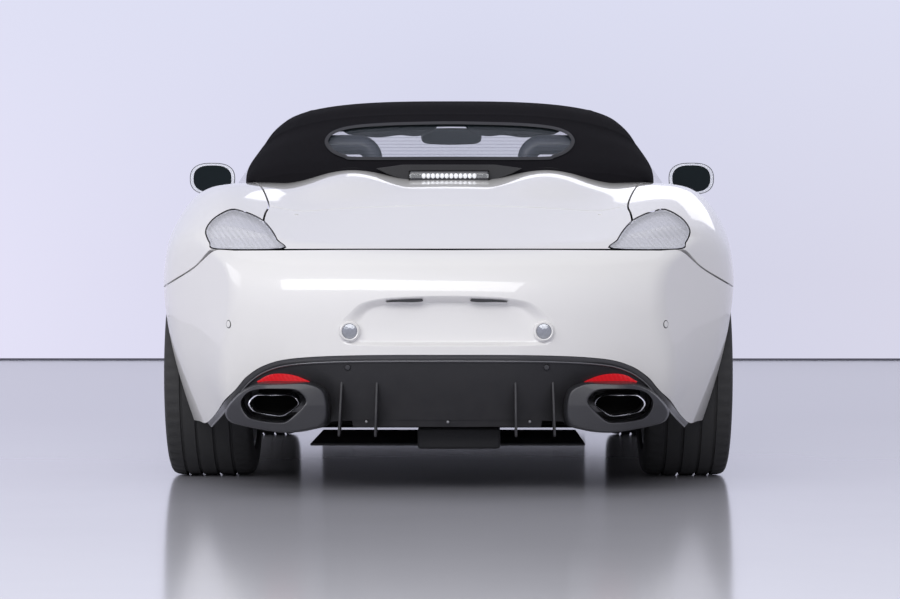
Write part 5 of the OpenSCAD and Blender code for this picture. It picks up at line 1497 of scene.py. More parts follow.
def screen_slab(us: tuple[float, float], vs: tuple[float, float], out: float, inn: float, columns: int = 40,
        rows: int = 20) -> bmesh.types.BMesh:
    """Closed slab of the windscreen's surface between two depths."""
    bm = sheet_on(columns, rows, lambda u,
        v: screen_at(us[0] + (us[1] - us[0]) * u, vs[0] + (vs[1] - vs[0]) * v, out))
    return swept(bm, Vector((0, 0.46, 0.88)) * (inn - out) * MM)


def roof_at(s: Points, f: Points, d: float) -> Points:
    """Fabric roof: s runs back from rib 0 to 9, f is degrees from the crown, d the depth below it."""
    table = [(i, *row) for i, row in enumerate(RIBS)]
    k = [Skin.curve(table, c, s) for c in (1, 2, 3, 4, 5)]
    m, a = 2 / 2.9, np.radians(np.abs(f))
    w, side = np.maximum(np.cos(a), 0) ** m, np.maximum(np.sin(a), 0) ** m
    x = (k[2] - d * 0.8) * side * np.sign(f)
    y, z = k[3] + (k[0] - k[3]) * w, k[4] + (k[1] - k[4] - d) * w
    return np.stack([x, y, np.where(y < -495, np.maximum(z, SKIN.top_z(x, y) + 6.5), z)], 1)


def pane_outline(grow: float) -> list[tuple[float, float]]:
    """Rear window outline as seen from behind."""
    right = [*REAR_PANE, *[(-x, z) for x, z in reversed(REAR_PANE[1:-1])]]
    return rounded(offset(right, grow), 4)


@dataclass
class Glasshouse:
    """Windscreen, side glass, fabric roof and rear window."""

    shop: Workshop
    columns: int = 96
    rows: int = 110

    def build(self) -> None:
        """Build every piece above the waist."""
        frame = carved(screen_slab((-1.07, 1.07), (-0.03, 1.045), 4, -26),
            [screen_slab((-1, 1), (0, 1), 40, -60)])
        self.shop.piece("windscreen_surround", frame, PAINT_BLACK, slot="black_trim", bevel=2.0)
        self.shop.piece("windscreen_glass", screen_slab((-0.998, 0.998), (0.004, 0.997), 0, -5), GLASS,
            replaces=["windscreen"], slot="glazing")
        for left, body, node in ((True, "left_door_body", "left_door_glass"),
                (False, "right_door_body", "right_door_glass")):
            glass = self.side_pane()
            glass = mirrored(glass, keep=False) if left else glass
            self.shop.piece(f"{node}_pane", glass, GLASS, body, [node], "glazing")
        self.roof()
        self.rear_window()
        self.inside()

    def side_pane(self) -> bmesh.types.BMesh:
        """Curved side window of the right-hand door."""
        def place(u: Points, v: Points) -> Points:
            """Point of the pane's outer face."""
            z = 860 + 320 * v
            return np.stack([772 - 0.62 * (z - 905) - 0.0004 * (z - 905) ** 2, -520 + 1220 * u, z], 1)
        bm = sheet_on(12, 24, place)
        return carved(swept(bm, Vector((-SIDE_GLASS * MM, 0, 0))), [prism(PANE, Axis.X, 500, 900)], "INTERSECT")

    def shell(self, out: float, thick: float, s0: float, s1: float, columns: int, rows: int,
            shaped: bool = False) -> bmesh.types.BMesh:
        """Closed shell that follows the roof between two ribs."""
        def place(u: Points, v: Points) -> Points:
            """Point of the shell's outer face."""
            f, s = (u * 2 - 1) * 90, s0 + (s1 - s0) * v
            p = roof_at(s, f, out)
            if shaped:
                crown = np.cos(np.radians(f)) ** 0.5
                bows = sum(np.exp(-((s - b) / 0.16) ** 2) for b in (0.35, 2.2, 4.35))
                seam = np.exp(-((np.abs(f) - 47) / 1.6) ** 2)
                p[:, 2] += (1.4 * bows * crown + 1.3 * seam * (s > 0.3) - 1.6)
                hem = ((np.abs(f) > 89.9) | (v > 0.999)) & (p[:, 1] < -500)
                p[:, 2] = np.where(hem, SKIN.top_z(p[:, 0], p[:, 1]) - 4, p[:, 2])
            return p
        bm = sheet_on(columns, rows, place)
        facing(bm, lambda c: Vector((c.x * 1.2, 0, 1)))
        bmesh.ops.solidify(bm, geom=bm.faces[:], thickness=thick * MM)
        return bm

    def roof(self) -> None:
        """Fabric roof, its hems and the window's sewn surround."""
        cloth = carved(self.shell(0, 4.5, 0, 9, self.columns, self.rows, True),
                       [prism(pane_outline(0), Axis.Y, -1010, -600),
                           screen_slab((-1.2, 1.2), (-0.1, 1.046), 60, -60, 12, 6)])
        roof = self.shop.piece("roof_cloth", cloth, HOOD, replaces=["fabric_roof"], slot="roof_fabric", sharp=60)
        inner = carved(self.shell(8, 3, 0.1, 8.7, 60, 60), [prism(pane_outline(4), Axis.Y, -1010, -600),
                                                          screen_slab((-1.2, 1.2), (-0.1, 1.046), 60, -60, 12,
                                                              6)])
        lining = self.shop.piece("roof_lining", inner, LINING, slot="roof_fabric", sharp=60)
        hem = carved(self.shell(-1.6, 3.2, 3.6, 9, self.columns, 90),
            [prism(pane_outline(9), Axis.Y, -1010, -600)], "INTERSECT")
        hem = carved(hem, [prism(pane_outline(-2.5), Axis.Y, -1010, -600)])
        self.shop.piece("rear_window_seal", hem, SEAL, slot="black_trim", sharp=60)

    def rear_window(self) -> None:
        """Glass rear window."""
        glass = carved(self.shell(3, 5, 4.2, 8.9, 60, 60), [prism(pane_outline(-0.3), Axis.Y, -1010, -600)],
            "INTERSECT")
        self.shop.piece("rear_window_glass", glass, REAR_GLASS, replaces=["rear_window"], slot="glazing")
        wires = []
        for k in range(9):
            z = 1044 + 12.5 * k
            line = []
            for x in np.linspace(-372, 372, 40):
                s = np.linspace(4.2, 8.9, 200)
                f = np.degrees(np.arcsin(np.clip(abs(x) / Skin.curve([(i, *r) for i, r in enumerate(RIBS)], 3, s),
                            0, 1) ** 1.45)) * np.sign(x)
                p = roof_at(s, f, 8.4)
                j = int(np.argmin(np.abs(p[:, 2] - z)))
                line.append((float(x), float(p[j, 1]), z))
            wires.append(tube(line, 0.35, 5))
        self.shop.piece("rear_window_wires", joined(wires), BURNT, slot="glazing")

    def inside(self) -> None:
        """Interior mirror and sun visors under the header."""
        shape = rounded([(-112, 1158), (-100, 1132), (-40, 1126), (40, 1126), (100, 1132), (112, 1158),
                (100, 1182), (40, 1186), (-40, 1186), (-100, 1182)], 4)
        shell = prism(shape, Axis.Y, 206, 234)
        bmesh.ops.bevel(shell, geom=[e for e in shell.edges if not e.is_boundary and e.calc_face_angle(0) > 0.8],
            offset=7 * MM, segments=4,
                        profile=0.5, affect="EDGES", material=-1, clamp_overlap=True)
        stem = tube([(0, 232, 1160), (0, 250, 1168), (0, 262, 1176)], 7, 16)
        self.shop.piece("interior_mirror_shell", joined([shell, stem]), MOULDED, replaces=["cabin_mirror"],
            slot="cabin_trim")
        self.shop.piece("interior_mirror_glass", prism(rounded(offset(shape[::4], -7), 4), Axis.Y, 204.6, 206.4),
            MIRROR_PAINTED_REFLECTION, slot="glazing")
        visors = []
        for s in (-1, 1):
            low = [(s * x, z) for x, z in ((70, 1128), (130, 1112), (190, 1116), (260, 1108), (330, 1112),
                    (390, 1124))]
            line = [*low, (s * 395, 1160), (s * 70, 1176)]
            visor = prism(rounded(line if s > 0 else line[::-1], 4), Axis.Y, 150, 160)
            for v in visor.verts:
                v.co.y += (1.176 - v.co.z) * 0.45
                v.co.z += 0.043
            visors.append(visor)
        self.shop.piece("sun_visors", joined(visors), LINING, slot="cabin_trim", bevel=3)


PAINT_BLACK = Finish("satin_black_frame", (0.02, 0.02, 0.022), 0.35, Texture.GRAIN, 1200.0, 0.06, 0.15, 0.06,
    coat=0.4)
REAR_GLASS = Finish("rear_window_tint", (0.12, 0.17, 0.2), 0.03, Texture.PLAIN, alpha=0.1, coat=1.0, mottle=0.0,
    spread=0.01)


# ------------------------------------------------------------------ cabin
def pad(low: Sequence[float], high: Sequence[float], crown: float = 0.16, pull: float = 0.05,
        cuts: int = 11) -> bmesh.types.BMesh:
    """Crowned cushion between two corners, whose sides pull in between its corners.

    Args:
        low: lowest corner, in millimetres.
        high: highest corner.
        crown: how far each face swells towards its middle, as a share of its size; the box keeps the whole.
        pull: how far the edges draw in half-way along.
        cuts: subdivisions of each edge.

    Returns:
        A closed form.
    """
    bm = bmesh.new()
    bmesh.ops.create_cube(bm, size=2.0)
    bmesh.ops.subdivide_edges(bm, edges=bm.edges[:], cuts=cuts, use_grid_fill=True)
    lo, hi = np.array(low) * MM, np.array(high) * MM
    for v in bm.verts:
        a, b, c = v.co
        ball = Vector((a * math.sqrt(max(1 - b * b / 2 - c * c / 2 + b * b * c * c / 3, 0)),
                b * math.sqrt(max(1 - a * a / 2 - c * c / 2 + a * a * c * c / 3, 0)),
                       c * math.sqrt(max(1 - a * a / 2 - b * b / 2 + a * a * b * b / 3, 0))))
        q = v.co * (1 - crown * 2.2) + ball * crown * 2.2
        q = Vector([q[k] * (1 - pull * (2 - abs(q[(k + 1) % 3]) ** 4 - abs(q[(k + 2) % 3]) ** 4)
                            * (0.0 if abs(q[k]) > 0.8 and crown else 1.0)) for k in range(3)])
        v.co = Vector([(lo[k] + hi[k]) / 2 + q[k] * (hi[k] - lo[k]) / 2 for k in range(3)])
    bmesh.ops.recalc_face_normals(bm, faces=bm.faces[:])
    return bm


@dataclass
class Cabin:
    """Seats, roll hoops, dash, wheel and console."""

    shop: Workshop
    seat_x: float = 370.0
    tilt: float = 15.0

    def build(self) -> None:
        """Build the cabin's pieces."""
        self.hoops()
        self.seats()
        self.dash()
        self.steering()
        self.console()

    def hoops(self) -> None:
        """Padded roll hoops with a sewn seam."""
        for side, s in (("left", -1), ("right", 1)):
            path = [(s * self.seat_x - 106, -605, z) for z in (868, 900, 940, 980, 1020, 1040)]
            path += [(s * self.seat_x - 57 - 49 * math.cos(a), -605,
                    1040 + 49 * math.sin(a)) for a in np.linspace(0.2, math.pi / 2, 7)]
            path += [(s * self.seat_x + x, -605, 1089) for x in (-30, 0, 30)]
            path += [(s * self.seat_x + 57 + 49 * math.sin(a), -605,
                    1040 + 49 * math.cos(a)) for a in np.linspace(0, math.pi / 2 - 0.2, 7)]
            path += [(s * self.seat_x + 106, -605, z) for z in (1040, 1020, 980, 940, 900, 868)]
            bm = tube(path, 33, 32)
            for v in bm.verts:
                v.co.y = -0.605 + (v.co.y + 0.605) * (1.0 - 0.05 * math.sin(v.co.z * 40))
            obj = self.shop.piece(f"{side}_hoop_pad", bm, HOOP_LEATHER, replaces=["roll_hoops"] if s < 0 else (),
                slot="hoop_padding")
            self.shop.piece(f"{side}_hoop_seam", tube([(x, y - 33.2, z) for x, y, z in path], 1.1, 8), THREAD,
                slot="hoop_padding")

    def seats(self) -> None:
        """Two bucket seats: shell, cushions, bolsters and head rest, each its own padded form."""
        tilt = Matrix.Translation(Vector((0, -250, 215)) * MM) @ Matrix.Rotation(math.radians(self.tilt), 4, "X")
        for side, s in (("left", -1), ("right", 1)):
            cx = s * self.seat_x
            base = brick((cx - 228, -328, 160), (cx + 228, 188, 214), 20, 4)
            back = brick((-238, -76, 6), (238, -52, 556), 11, 4)
            bmesh.ops.transform(back, matrix=Matrix.Translation((cx * MM, 0, 0)) @ tilt, verts=back.verts[:])
            self.shop.piece(f"{side}_seat_shell", joined([base, back]), MOULDED,
                replaces=["seats"] if s < 0 else (), slot="seat_leather")
            flat = [("base_pad", pad((cx - 150, -245, 212), (cx + 150, 218, 302))),
                ("base_bolster_in", pad((cx - 244, -325, 212), (cx - 148, 148, 336))),
                    ("base_bolster_out", pad((cx + 148, -325, 212), (cx + 244, 148, 336)))]
            upright = [("back_pad", pad((-160, -54, 4), (160, 2, 556), 0.12)),
                ("back_bolster_in", pad((-242, -56, 4), (-158, 54, 482))),
                       ("back_bolster_out", pad((158, -56, 4), (242, 54, 482))),
                       ("head_rest", pad((-128, -78, 562), (128, -8, 828), 0.14))]
            for _, bm in upright:
                bmesh.ops.transform(bm, matrix=Matrix.Translation((cx * MM, 0, 0)) @ tilt, verts=bm.verts[:])
            for name, bm in [*flat, *upright]:
                if name in ("base_pad", "back_pad"):
                    for v in bm.verts:
                        along = v.co.y if name == "base_pad" else v.co.z
                        groove = 0.0035 * math.exp(-((math.sin(along * 42)) / 0.22) ** 2)
                        v.co -= v.normal * groove
                self.shop.piece(f"{side}_seat_{name}", bm, SEAT_LEATHER, slot="seat_leather")

    def dash(self) -> None:
        """Instrument panel with cowl, dials, vents and screen."""
        side = [(799, 422), (642, 422), (563, 560), (533, 690), (548, 788), (612, 835), (700, 843), (774, 790),
            (799, 790)]
        body = prism(side, Axis.X, -634, 634)
        bmesh.ops.bevel(body, geom=[e for e in body.edges if e.calc_face_angle(0) > 0.2], offset=9 * MM,
            segments=3, profile=0.5, affect="EDGES",
                        material=-1, clamp_overlap=True)
        self.shop.piece("dash_panel", body, MOULDED, replaces=["dashboard"], slot="cabin_trim")
        cowl = prism(rounded([(-505, 800), (-490, 858), (-420, 876), (-320, 876), (-250, 858), (-236, 800)], 5),
            Axis.Y, 556, 668)
        cowl = carved(cowl, [prism(rounded([(-488, 800), (-476, 846), (-418, 862), (-322, 862), (-264, 846),
                            (-252, 800)], 5), Axis.Y, 500, 600)])
        self.shop.piece("dash_cowl", cowl, MOULDED, slot="cabin_trim", bevel=2.5)
        dials = [lathe_y([(0, -2), (27, -2), (30, -6), (32, -6), (32, 8), (0, 8)], 48,
                (x, 598, 826)) for x in (-428, -370, -312)]
        self.shop.piece("dash_dials", joined(dials), DIAL, slot="cabin_trim")
        vents = []
        for x in (-580, -110, 110, 580):
            vents.append(carved(brick((x - 46, 530, 740), (x + 46, 552, 786), 5),
                    [brick((x - 39, 520, 746), (x + 39, 544, 780), 4)]))
            vents += [brick((x - 40, 534, z), (x + 40, 544, z + 3), 0.8) for z in (752, 761, 770)]
        self.shop.piece("dash_vents", joined(vents), GLOSS_BLACK, slot="cabin_trim")
        self.shop.piece("dash_screen", brick((-78, 529, 640), (78, 545, 728), 4), DIAL, slot="cabin_trim")

    def steering(self) -> None:
        """Steering wheel with a padded boss and three spokes."""
        turn = Matrix.Translation(Vector((-370, 440, 800)) * MM) @ Matrix.Rotation(math.radians(68), 4, "X")
        ring = tube([(172 * math.cos(a), 172 * math.sin(a), 0) for a in np.linspace(0, 2 * math.pi, 96,
                    endpoint=False)], 13.8, 20, closed=True)
        boss = pad((-62, -58, -24), (62, 58, 12), 0.14, 0.0)
        spokes = []
        for angle in (0, 180, 270):
            bar = brick((48, -15, -8), (165, 15, 6), 4)
            bmesh.ops.transform(bar, matrix=Matrix.Rotation(math.radians(angle), 4, "Z"), verts=bar.verts[:])
            spokes.append(bar)
        for name, bm, finish in (("steering_rim", ring, SEAT_LEATHER), ("steering_boss", boss, MOULDED),
                ("steering_spokes", joined(spokes), SILVER_RIM)):
            bmesh.ops.transform(bm, matrix=turn, verts=bm.verts[:])
            self.shop.piece(name, bm, finish, "steering_wheel_body",
                ["steering_wheel"] if name == "steering_rim" else (), "cabin_trim")

    def console(self) -> None:
        """Centre console, gear lever and floor carpets."""
        top = brick((-94, -418, 340), (94, 558, 400), 12, 4)
        rest = brick((-79, -418, 396), (79, -62, 469), 18, 5)
        self.shop.piece("console_body", joined([top, rest]), MOULDED, replaces=["centre_console"],
            slot="cabin_trim")
        boot = lathe_z([(46, 400), (40, 412), (34, 418), (30, 436), (22, 442), (17, 460), (10, 468), (6, 500),
                (0, 500)], 32, (0, 120))
        knob = lathe_z([(0, 474), (10, 476), (20, 486), (25, 500), (24, 514), (15, 524), (0, 526)], 32, (0, 120))
        self.shop.piece("gear_boot", boot, SEAT_LEATHER, slot="cabin_trim")
        self.shop.piece("gear_knob", knob, SILVER_RIM, slot="cabin_trim")
        mats = [brick((s * 370 - 210, 210, 146), (s * 370 + 210, 780, 156), 4) for s in (-1, 1)]
        self.shop.piece("floor_carpets", joined(mats), CARPET, slot="cabin_trim")


def lathe_z(profile: Line, segments: int, centre: Sequence[float]) -> bmesh.types.BMesh:
    """Spin a profile of radius and height about an upright axis at x and y."""
    bm = bmesh.new()
    verts = [bm.verts.new((r * MM, 0, z * MM)) for r, z in profile]
    edges = [bm.edges.new((a, b)) for a, b in zip(verts, verts[1:])]
    bmesh.ops.spin(bm, geom=verts + edges, cent=(0, 0, 0), axis=(0, 0, 1), angle=2 * math.pi, steps=segments,
        use_merge=True)
    bmesh.ops.remove_doubles(bm, verts=bm.verts[:], dist=1e-6)
    bmesh.ops.holes_fill(bm, edges=[e for e in bm.edges if e.is_boundary], sides=0)
    bmesh.ops.recalc_face_normals(bm, faces=bm.faces[:])
    bmesh.ops.translate(bm, vec=(centre[0] * MM, centre[1] * MM, 0), verts=bm.verts[:])
    return bm


# ------------------------------------------------------------------ wheels
@dataclass
class WheelSet:
    """Tyres with tread, twin-spoke rims, discs and bolts."""

    shop: Workshop
    rim_r: float = 241.0
    front: tuple[float, float, float] = (742.5, 323.0, 235.0)
    rear: tuple[float, float, float] = (764.5, 330.0, 295.0)
    steps: int = 216
    rear_tuck: float = 22.0

    def build(self) -> None:
        """Build the four wheels."""
        for front in (True, False):
            x, r, w = self.front if front else self.rear
            tuck = 0.0 if front else self.rear_tuck
            y = FRONT_AXLE if front else REAR_AXLE
            for left in (True, False):
                name = f"{'front' if front else 'rear'}_{'left' if left else 'right'}"
                body = f"{name}_wheel"
                for part, bm, finish, node, slot in (
                        ("tyre_tread", self.tyre(r, w, tuck), TYRE, f"{name}_tyre", "tyre_rubber"),
                        ("rim_spokes", self.rim(w, tuck), ALLOY, f"{name}_rim", "rim_alloy"),
                        ("brake_disc", self.disc(), MACHINED, None, "rim_alloy"),
                        ("wheel_bolts", self.bolts(w - 2 * tuck), STEEL, None, "rim_alloy")):
                    if left:
                        bm = mirrored(bm, keep=False)
                    bmesh.ops.translate(bm, vec=Vector(((-x if left else x), y, r)) * MM, verts=bm.verts[:])
                    self.shop.piece(f"{name}_{part}", bm, finish, body, [node] if node else (), slot, sharp=32)

    def tyre(self, r: float, w: float, tuck: float) -> bmesh.types.BMesh:
        """Tyre with four grooves round it and cross cuts in its shoulders."""
        h, k = w / 2, self.rim_r
        side = [(h - 12, k), (h - 4, k + 8), (h - 1.2, k + 24), (h, k + 40), (h - 0.6, k + 52), (h - 2, r - 26),
            (h - 6, r - 15), (h - 12, r - 8), (h - 20, r - 4.2), (h - 34, r - 1.2)]
        tread: list[tuple[float, float]] = []
        for c in (0.56, 0.2, -0.2, -0.56):
            x = c * h
            tread += [(x + 5.5, r - 0.2), (x + 4, r - 6.5), (x - 4, r - 6.5), (x - 5.5, r - 0.2)]
        profile = [*side, *tread, *[(-a, b) for a, b in reversed(side)]]
        bm = lathe([(a * (1 - tuck / h) if a > 0 else a, b) for a, b in profile], self.steps)
        for v in bm.verts:
            radius = math.hypot(v.co.y, v.co.z) / MM
            if radius > r - 4.6 and abs(v.co.x) / MM > 0.6 * h:
                step = round(math.atan2(v.co.y, v.co.z) / (2 * math.pi) * self.steps) % 4
                if step == 0:
                    v.co.y *= (radius - 4.5) / radius
                    v.co.z *= (radius - 4.5) / radius
        return bm

    def rim(self, w: float, tuck: float) -> bmesh.types.BMesh:
        """Barrel, centre and five pairs of spokes."""
        h, k, inner = w / 2 - tuck, self.rim_r, w / 2
        barrel = lathe([(-inner + 12, k - 0.5), (h - 12, k - 0.5), (h - 9, k + 2), (h - 7, k + 1), (h - 7, k - 6),
                (h - 12, k - 13), (h - 38, k - 20), (0, k - 15), (-inner + 12, k - 15)], 144)
        hub = lathe([(h - 66, 30), (h - 66, 74), (h - 52, 74), (h - 40, 66), (h - 36, 52), (h - 36, 34),
                (h - 26, 31), (h - 22, 24), (h - 21, 4), (h - 40, 4), (h - 40, 28)], 64)
        parts = [barrel, hub]
        for a in range(5):
            for q in (-1, 1):
                bar = brick((h - 66, -13, 58), (h - 34, 13, k - 13), 5, 3)
                bmesh.ops.subdivide_edges(bar, edges=[e for e in bar.edges if e.calc_length() > 0.1], cuts=7)
                for v in bar.verts:
                    t = (v.co.z / MM - 58) / (k - 71)
                    v.co.x += (20 * t * t - 3 + (4 * math.sin(math.pi * t) if v.co.x / MM > h - 50 else 0)) * MM
                    v.co.y = v.co.y * (1.1 - 0.35 * math.sin(math.pi * min(t, 1))) + q * (16 + 22 * t) * MM
                bmesh.ops.transform(bar, matrix=Matrix.Rotation(math.radians(72 * a), 4, "X"), verts=bar.verts[:])
                parts.append(bar)
        return joined(parts)

    def disc(self) -> bmesh.types.BMesh:
        """Vented brake disc with its bell."""
        return lathe([(-58, 60), (-58, 158), (-56.5, 160), (-49, 160), (-48, 150), (-44, 150), (-43, 160),
                (-35.5, 160), (-34, 158), (-34, 92), (-22, 84), (0, 82), (0, 60)], 128)

    def bolts(self, w: float) -> bmesh.types.BMesh:
        """Five wheel bolts."""
        out = []
        for a in range(5):
            bolt = drum((w / 2 - 40, 0, 56), 8, 14, Axis.X, 6, 7.2)
            bmesh.ops.transform(bolt, matrix=Matrix.Rotation(math.radians(72 * a + 36), 4, "X"),
                verts=bolt.verts[:])
            out.append(bolt)
        return joined(out)


# ------------------------------------------------------------------ mirrors and head lamps
@dataclass
class Mirrors:
    """Door mirrors: shell, silver rim, glass and foot."""

    shop: Workshop
    at: tuple[float, float, float] = (906, 500, 1008)

    def build(self) -> None:
        """Build both mirrors."""
        for left, body, node in ((True, "left_door_body", "left_mirror"),
                (False, "right_door_body", "right_mirror")):
            parts = (("shell", self.shell(), PAINT_BLACK, "black_trim"),
                ("rim", self.ring(84.5, 72, 4.0, 468.5), SILVER_RIM, "black_trim"),
                     ("glass", self.ring(73, 0, 1.5, 471.0), MIRROR_PAINTED_REFLECTION, "glazing"),
                     ("foot", self.foot(), PAINT_BLACK, "black_trim"))
            for part, bm, finish, slot in parts:
                bm = mirrored(bm, keep=False) if left else bm
                self.shop.piece(f"{node}_{part}", bm, finish, body, [node] if part == "shell" else (), slot,
                    bevel=0)

    def shape(self, radius: float) -> list[tuple[float, float]]:
        """Rounded outline of the mirror at a reach of its half width."""
        out = []
        for a in np.linspace(0, 2 * math.pi, 72, endpoint=False):
            c, s = math.cos(a), math.sin(a)
            out.append((self.at[0] + radius * np.sign(c) * abs(c) ** 0.72,
                    self.at[2] + radius * 0.70 * np.sign(s) * abs(s) ** 0.8))
        return out

    def shell(self) -> bmesh.types.BMesh:
        """Bowl-shaped shell, open to the rear."""
        shape = np.array(self.shape(85.5))
        n = len(shape)

        def place(u: Points, v: Points) -> Points:
            """From the rear edge forwards to the nose."""
            i = np.rint(u * n).astype(int) % n
            k = np.sqrt(np.maximum(1 - v ** 2.4, 0.0))
            mid = np.array([self.at[0] - 6, self.at[2] + 2])
            q = mid + (shape[i] - mid) * np.maximum(k, 0.001)[:, None]
            return np.stack([q[:, 0], 468 + 94 * v, q[:, 1]], 1)
        bm = sheet_on(n, 24, place)
        bmesh.ops.remove_doubles(bm, verts=bm.verts[:], dist=3e-4)
        centre = Vector(self.at) * MM
        facing(bm, lambda c: c - centre)
        bmesh.ops.solidify(bm, geom=bm.faces[:], thickness=2.5 * MM)
        return bm

    def ring(self, outer: float, inner: float, thick: float, y: float) -> bmesh.types.BMesh:
        """Flat ring or plate that closes the shell."""
        plate = prism(self.shape(outer), Axis.Y, y, y + thick)
        if inner:
            plate = carved(plate, [prism(self.shape(inner), Axis.Y, y - 10, y + 20)])
        return plate

    def foot(self) -> bmesh.types.BMesh:
        """Tapered foot down to the door."""
        path = [(858, 516, 966), (846, 520, 946), (830, 527, 915), (812, 535, 880), (800, 543, 856)]
        bm = tube(path, 14, 20)
        for v in bm.verts:
            v.co.y = 0.527 + (v.co.y - 0.527) * 1.35
        return bm


@dataclass
class HeadLamps:
    """Head lamps: lens, bowl and projectors."""

    shop: Workshop

    def build(self) -> None:
        """Build both lamps."""
        low, high = [(520, 1500), (520, 1700), (520, 1900)], [(790, 1500), (760, 1700), (700, 1900)]
        cut = rounded(offset(HEAD, -1.5), 4)
        lens = carved(tile(Way.TOP, low, high, 60, 60, 4), [prism(cut, Axis.Z, 400, 1000)], "INTERSECT")
        self.shop.piece("head_lamp_lenses", mirrored(lens), HEAD_LENS, replaces=["head_lamps"], slot="clear_lens",
            bevel=1.2)
        bowl = carved(tile(Way.TOP, low, high, 60, 60, 6, 30), [prism(cut, Axis.Z, 300, 1000)], "INTERSECT")
        self.shop.piece("head_lamp_bowls", mirrored(bowl), DARK_GREY, slot="clear_lens")
        rim = carved(tile(Way.TOP, low, high, 60, 60, 26, 4), [prism(cut, Axis.Z, 300, 1000)], "INTERSECT")
        rim = carved(rim, [prism(rounded(offset(HEAD, -7), 4), Axis.Z, 200, 1100)])
        self.shop.piece("head_lamp_rims", mirrored(rim), GLOSS_BLACK, slot="clear_lens")
        eyes = []
        for x, y, r in ((672, 1660, 34), (628, 1762, 30)):
            z = float(SKIN.top_z(x, y)) - 20
            eye = bmesh.new()
            bmesh.ops.create_uvsphere(eye, u_segments=36, v_segments=20, radius=r * MM)
            bmesh.ops.scale(eye, vec=(1, 1, 0.5), verts=eye.verts[:])
            bmesh.ops.translate(eye, vec=Vector((x, y, z)) * MM, verts=eye.verts[:])
            eyes.append(eye)
        self.shop.piece("head_lamp_projectors", mirrored(joined(eyes)), LED, slot="clear_lens")


# ------------------------------------------------------------------ studio
def linear(r: float, g: float, b: float) -> tuple[float, float, float, float]:
    """Turn an 8-bit display colour into a linear one."""
    return (*[((c / 255 + 0.055) / 1.055) ** 2.4 if c > 10 else c / 255 / 12.92 for c in (r, g, b)], 1.0)


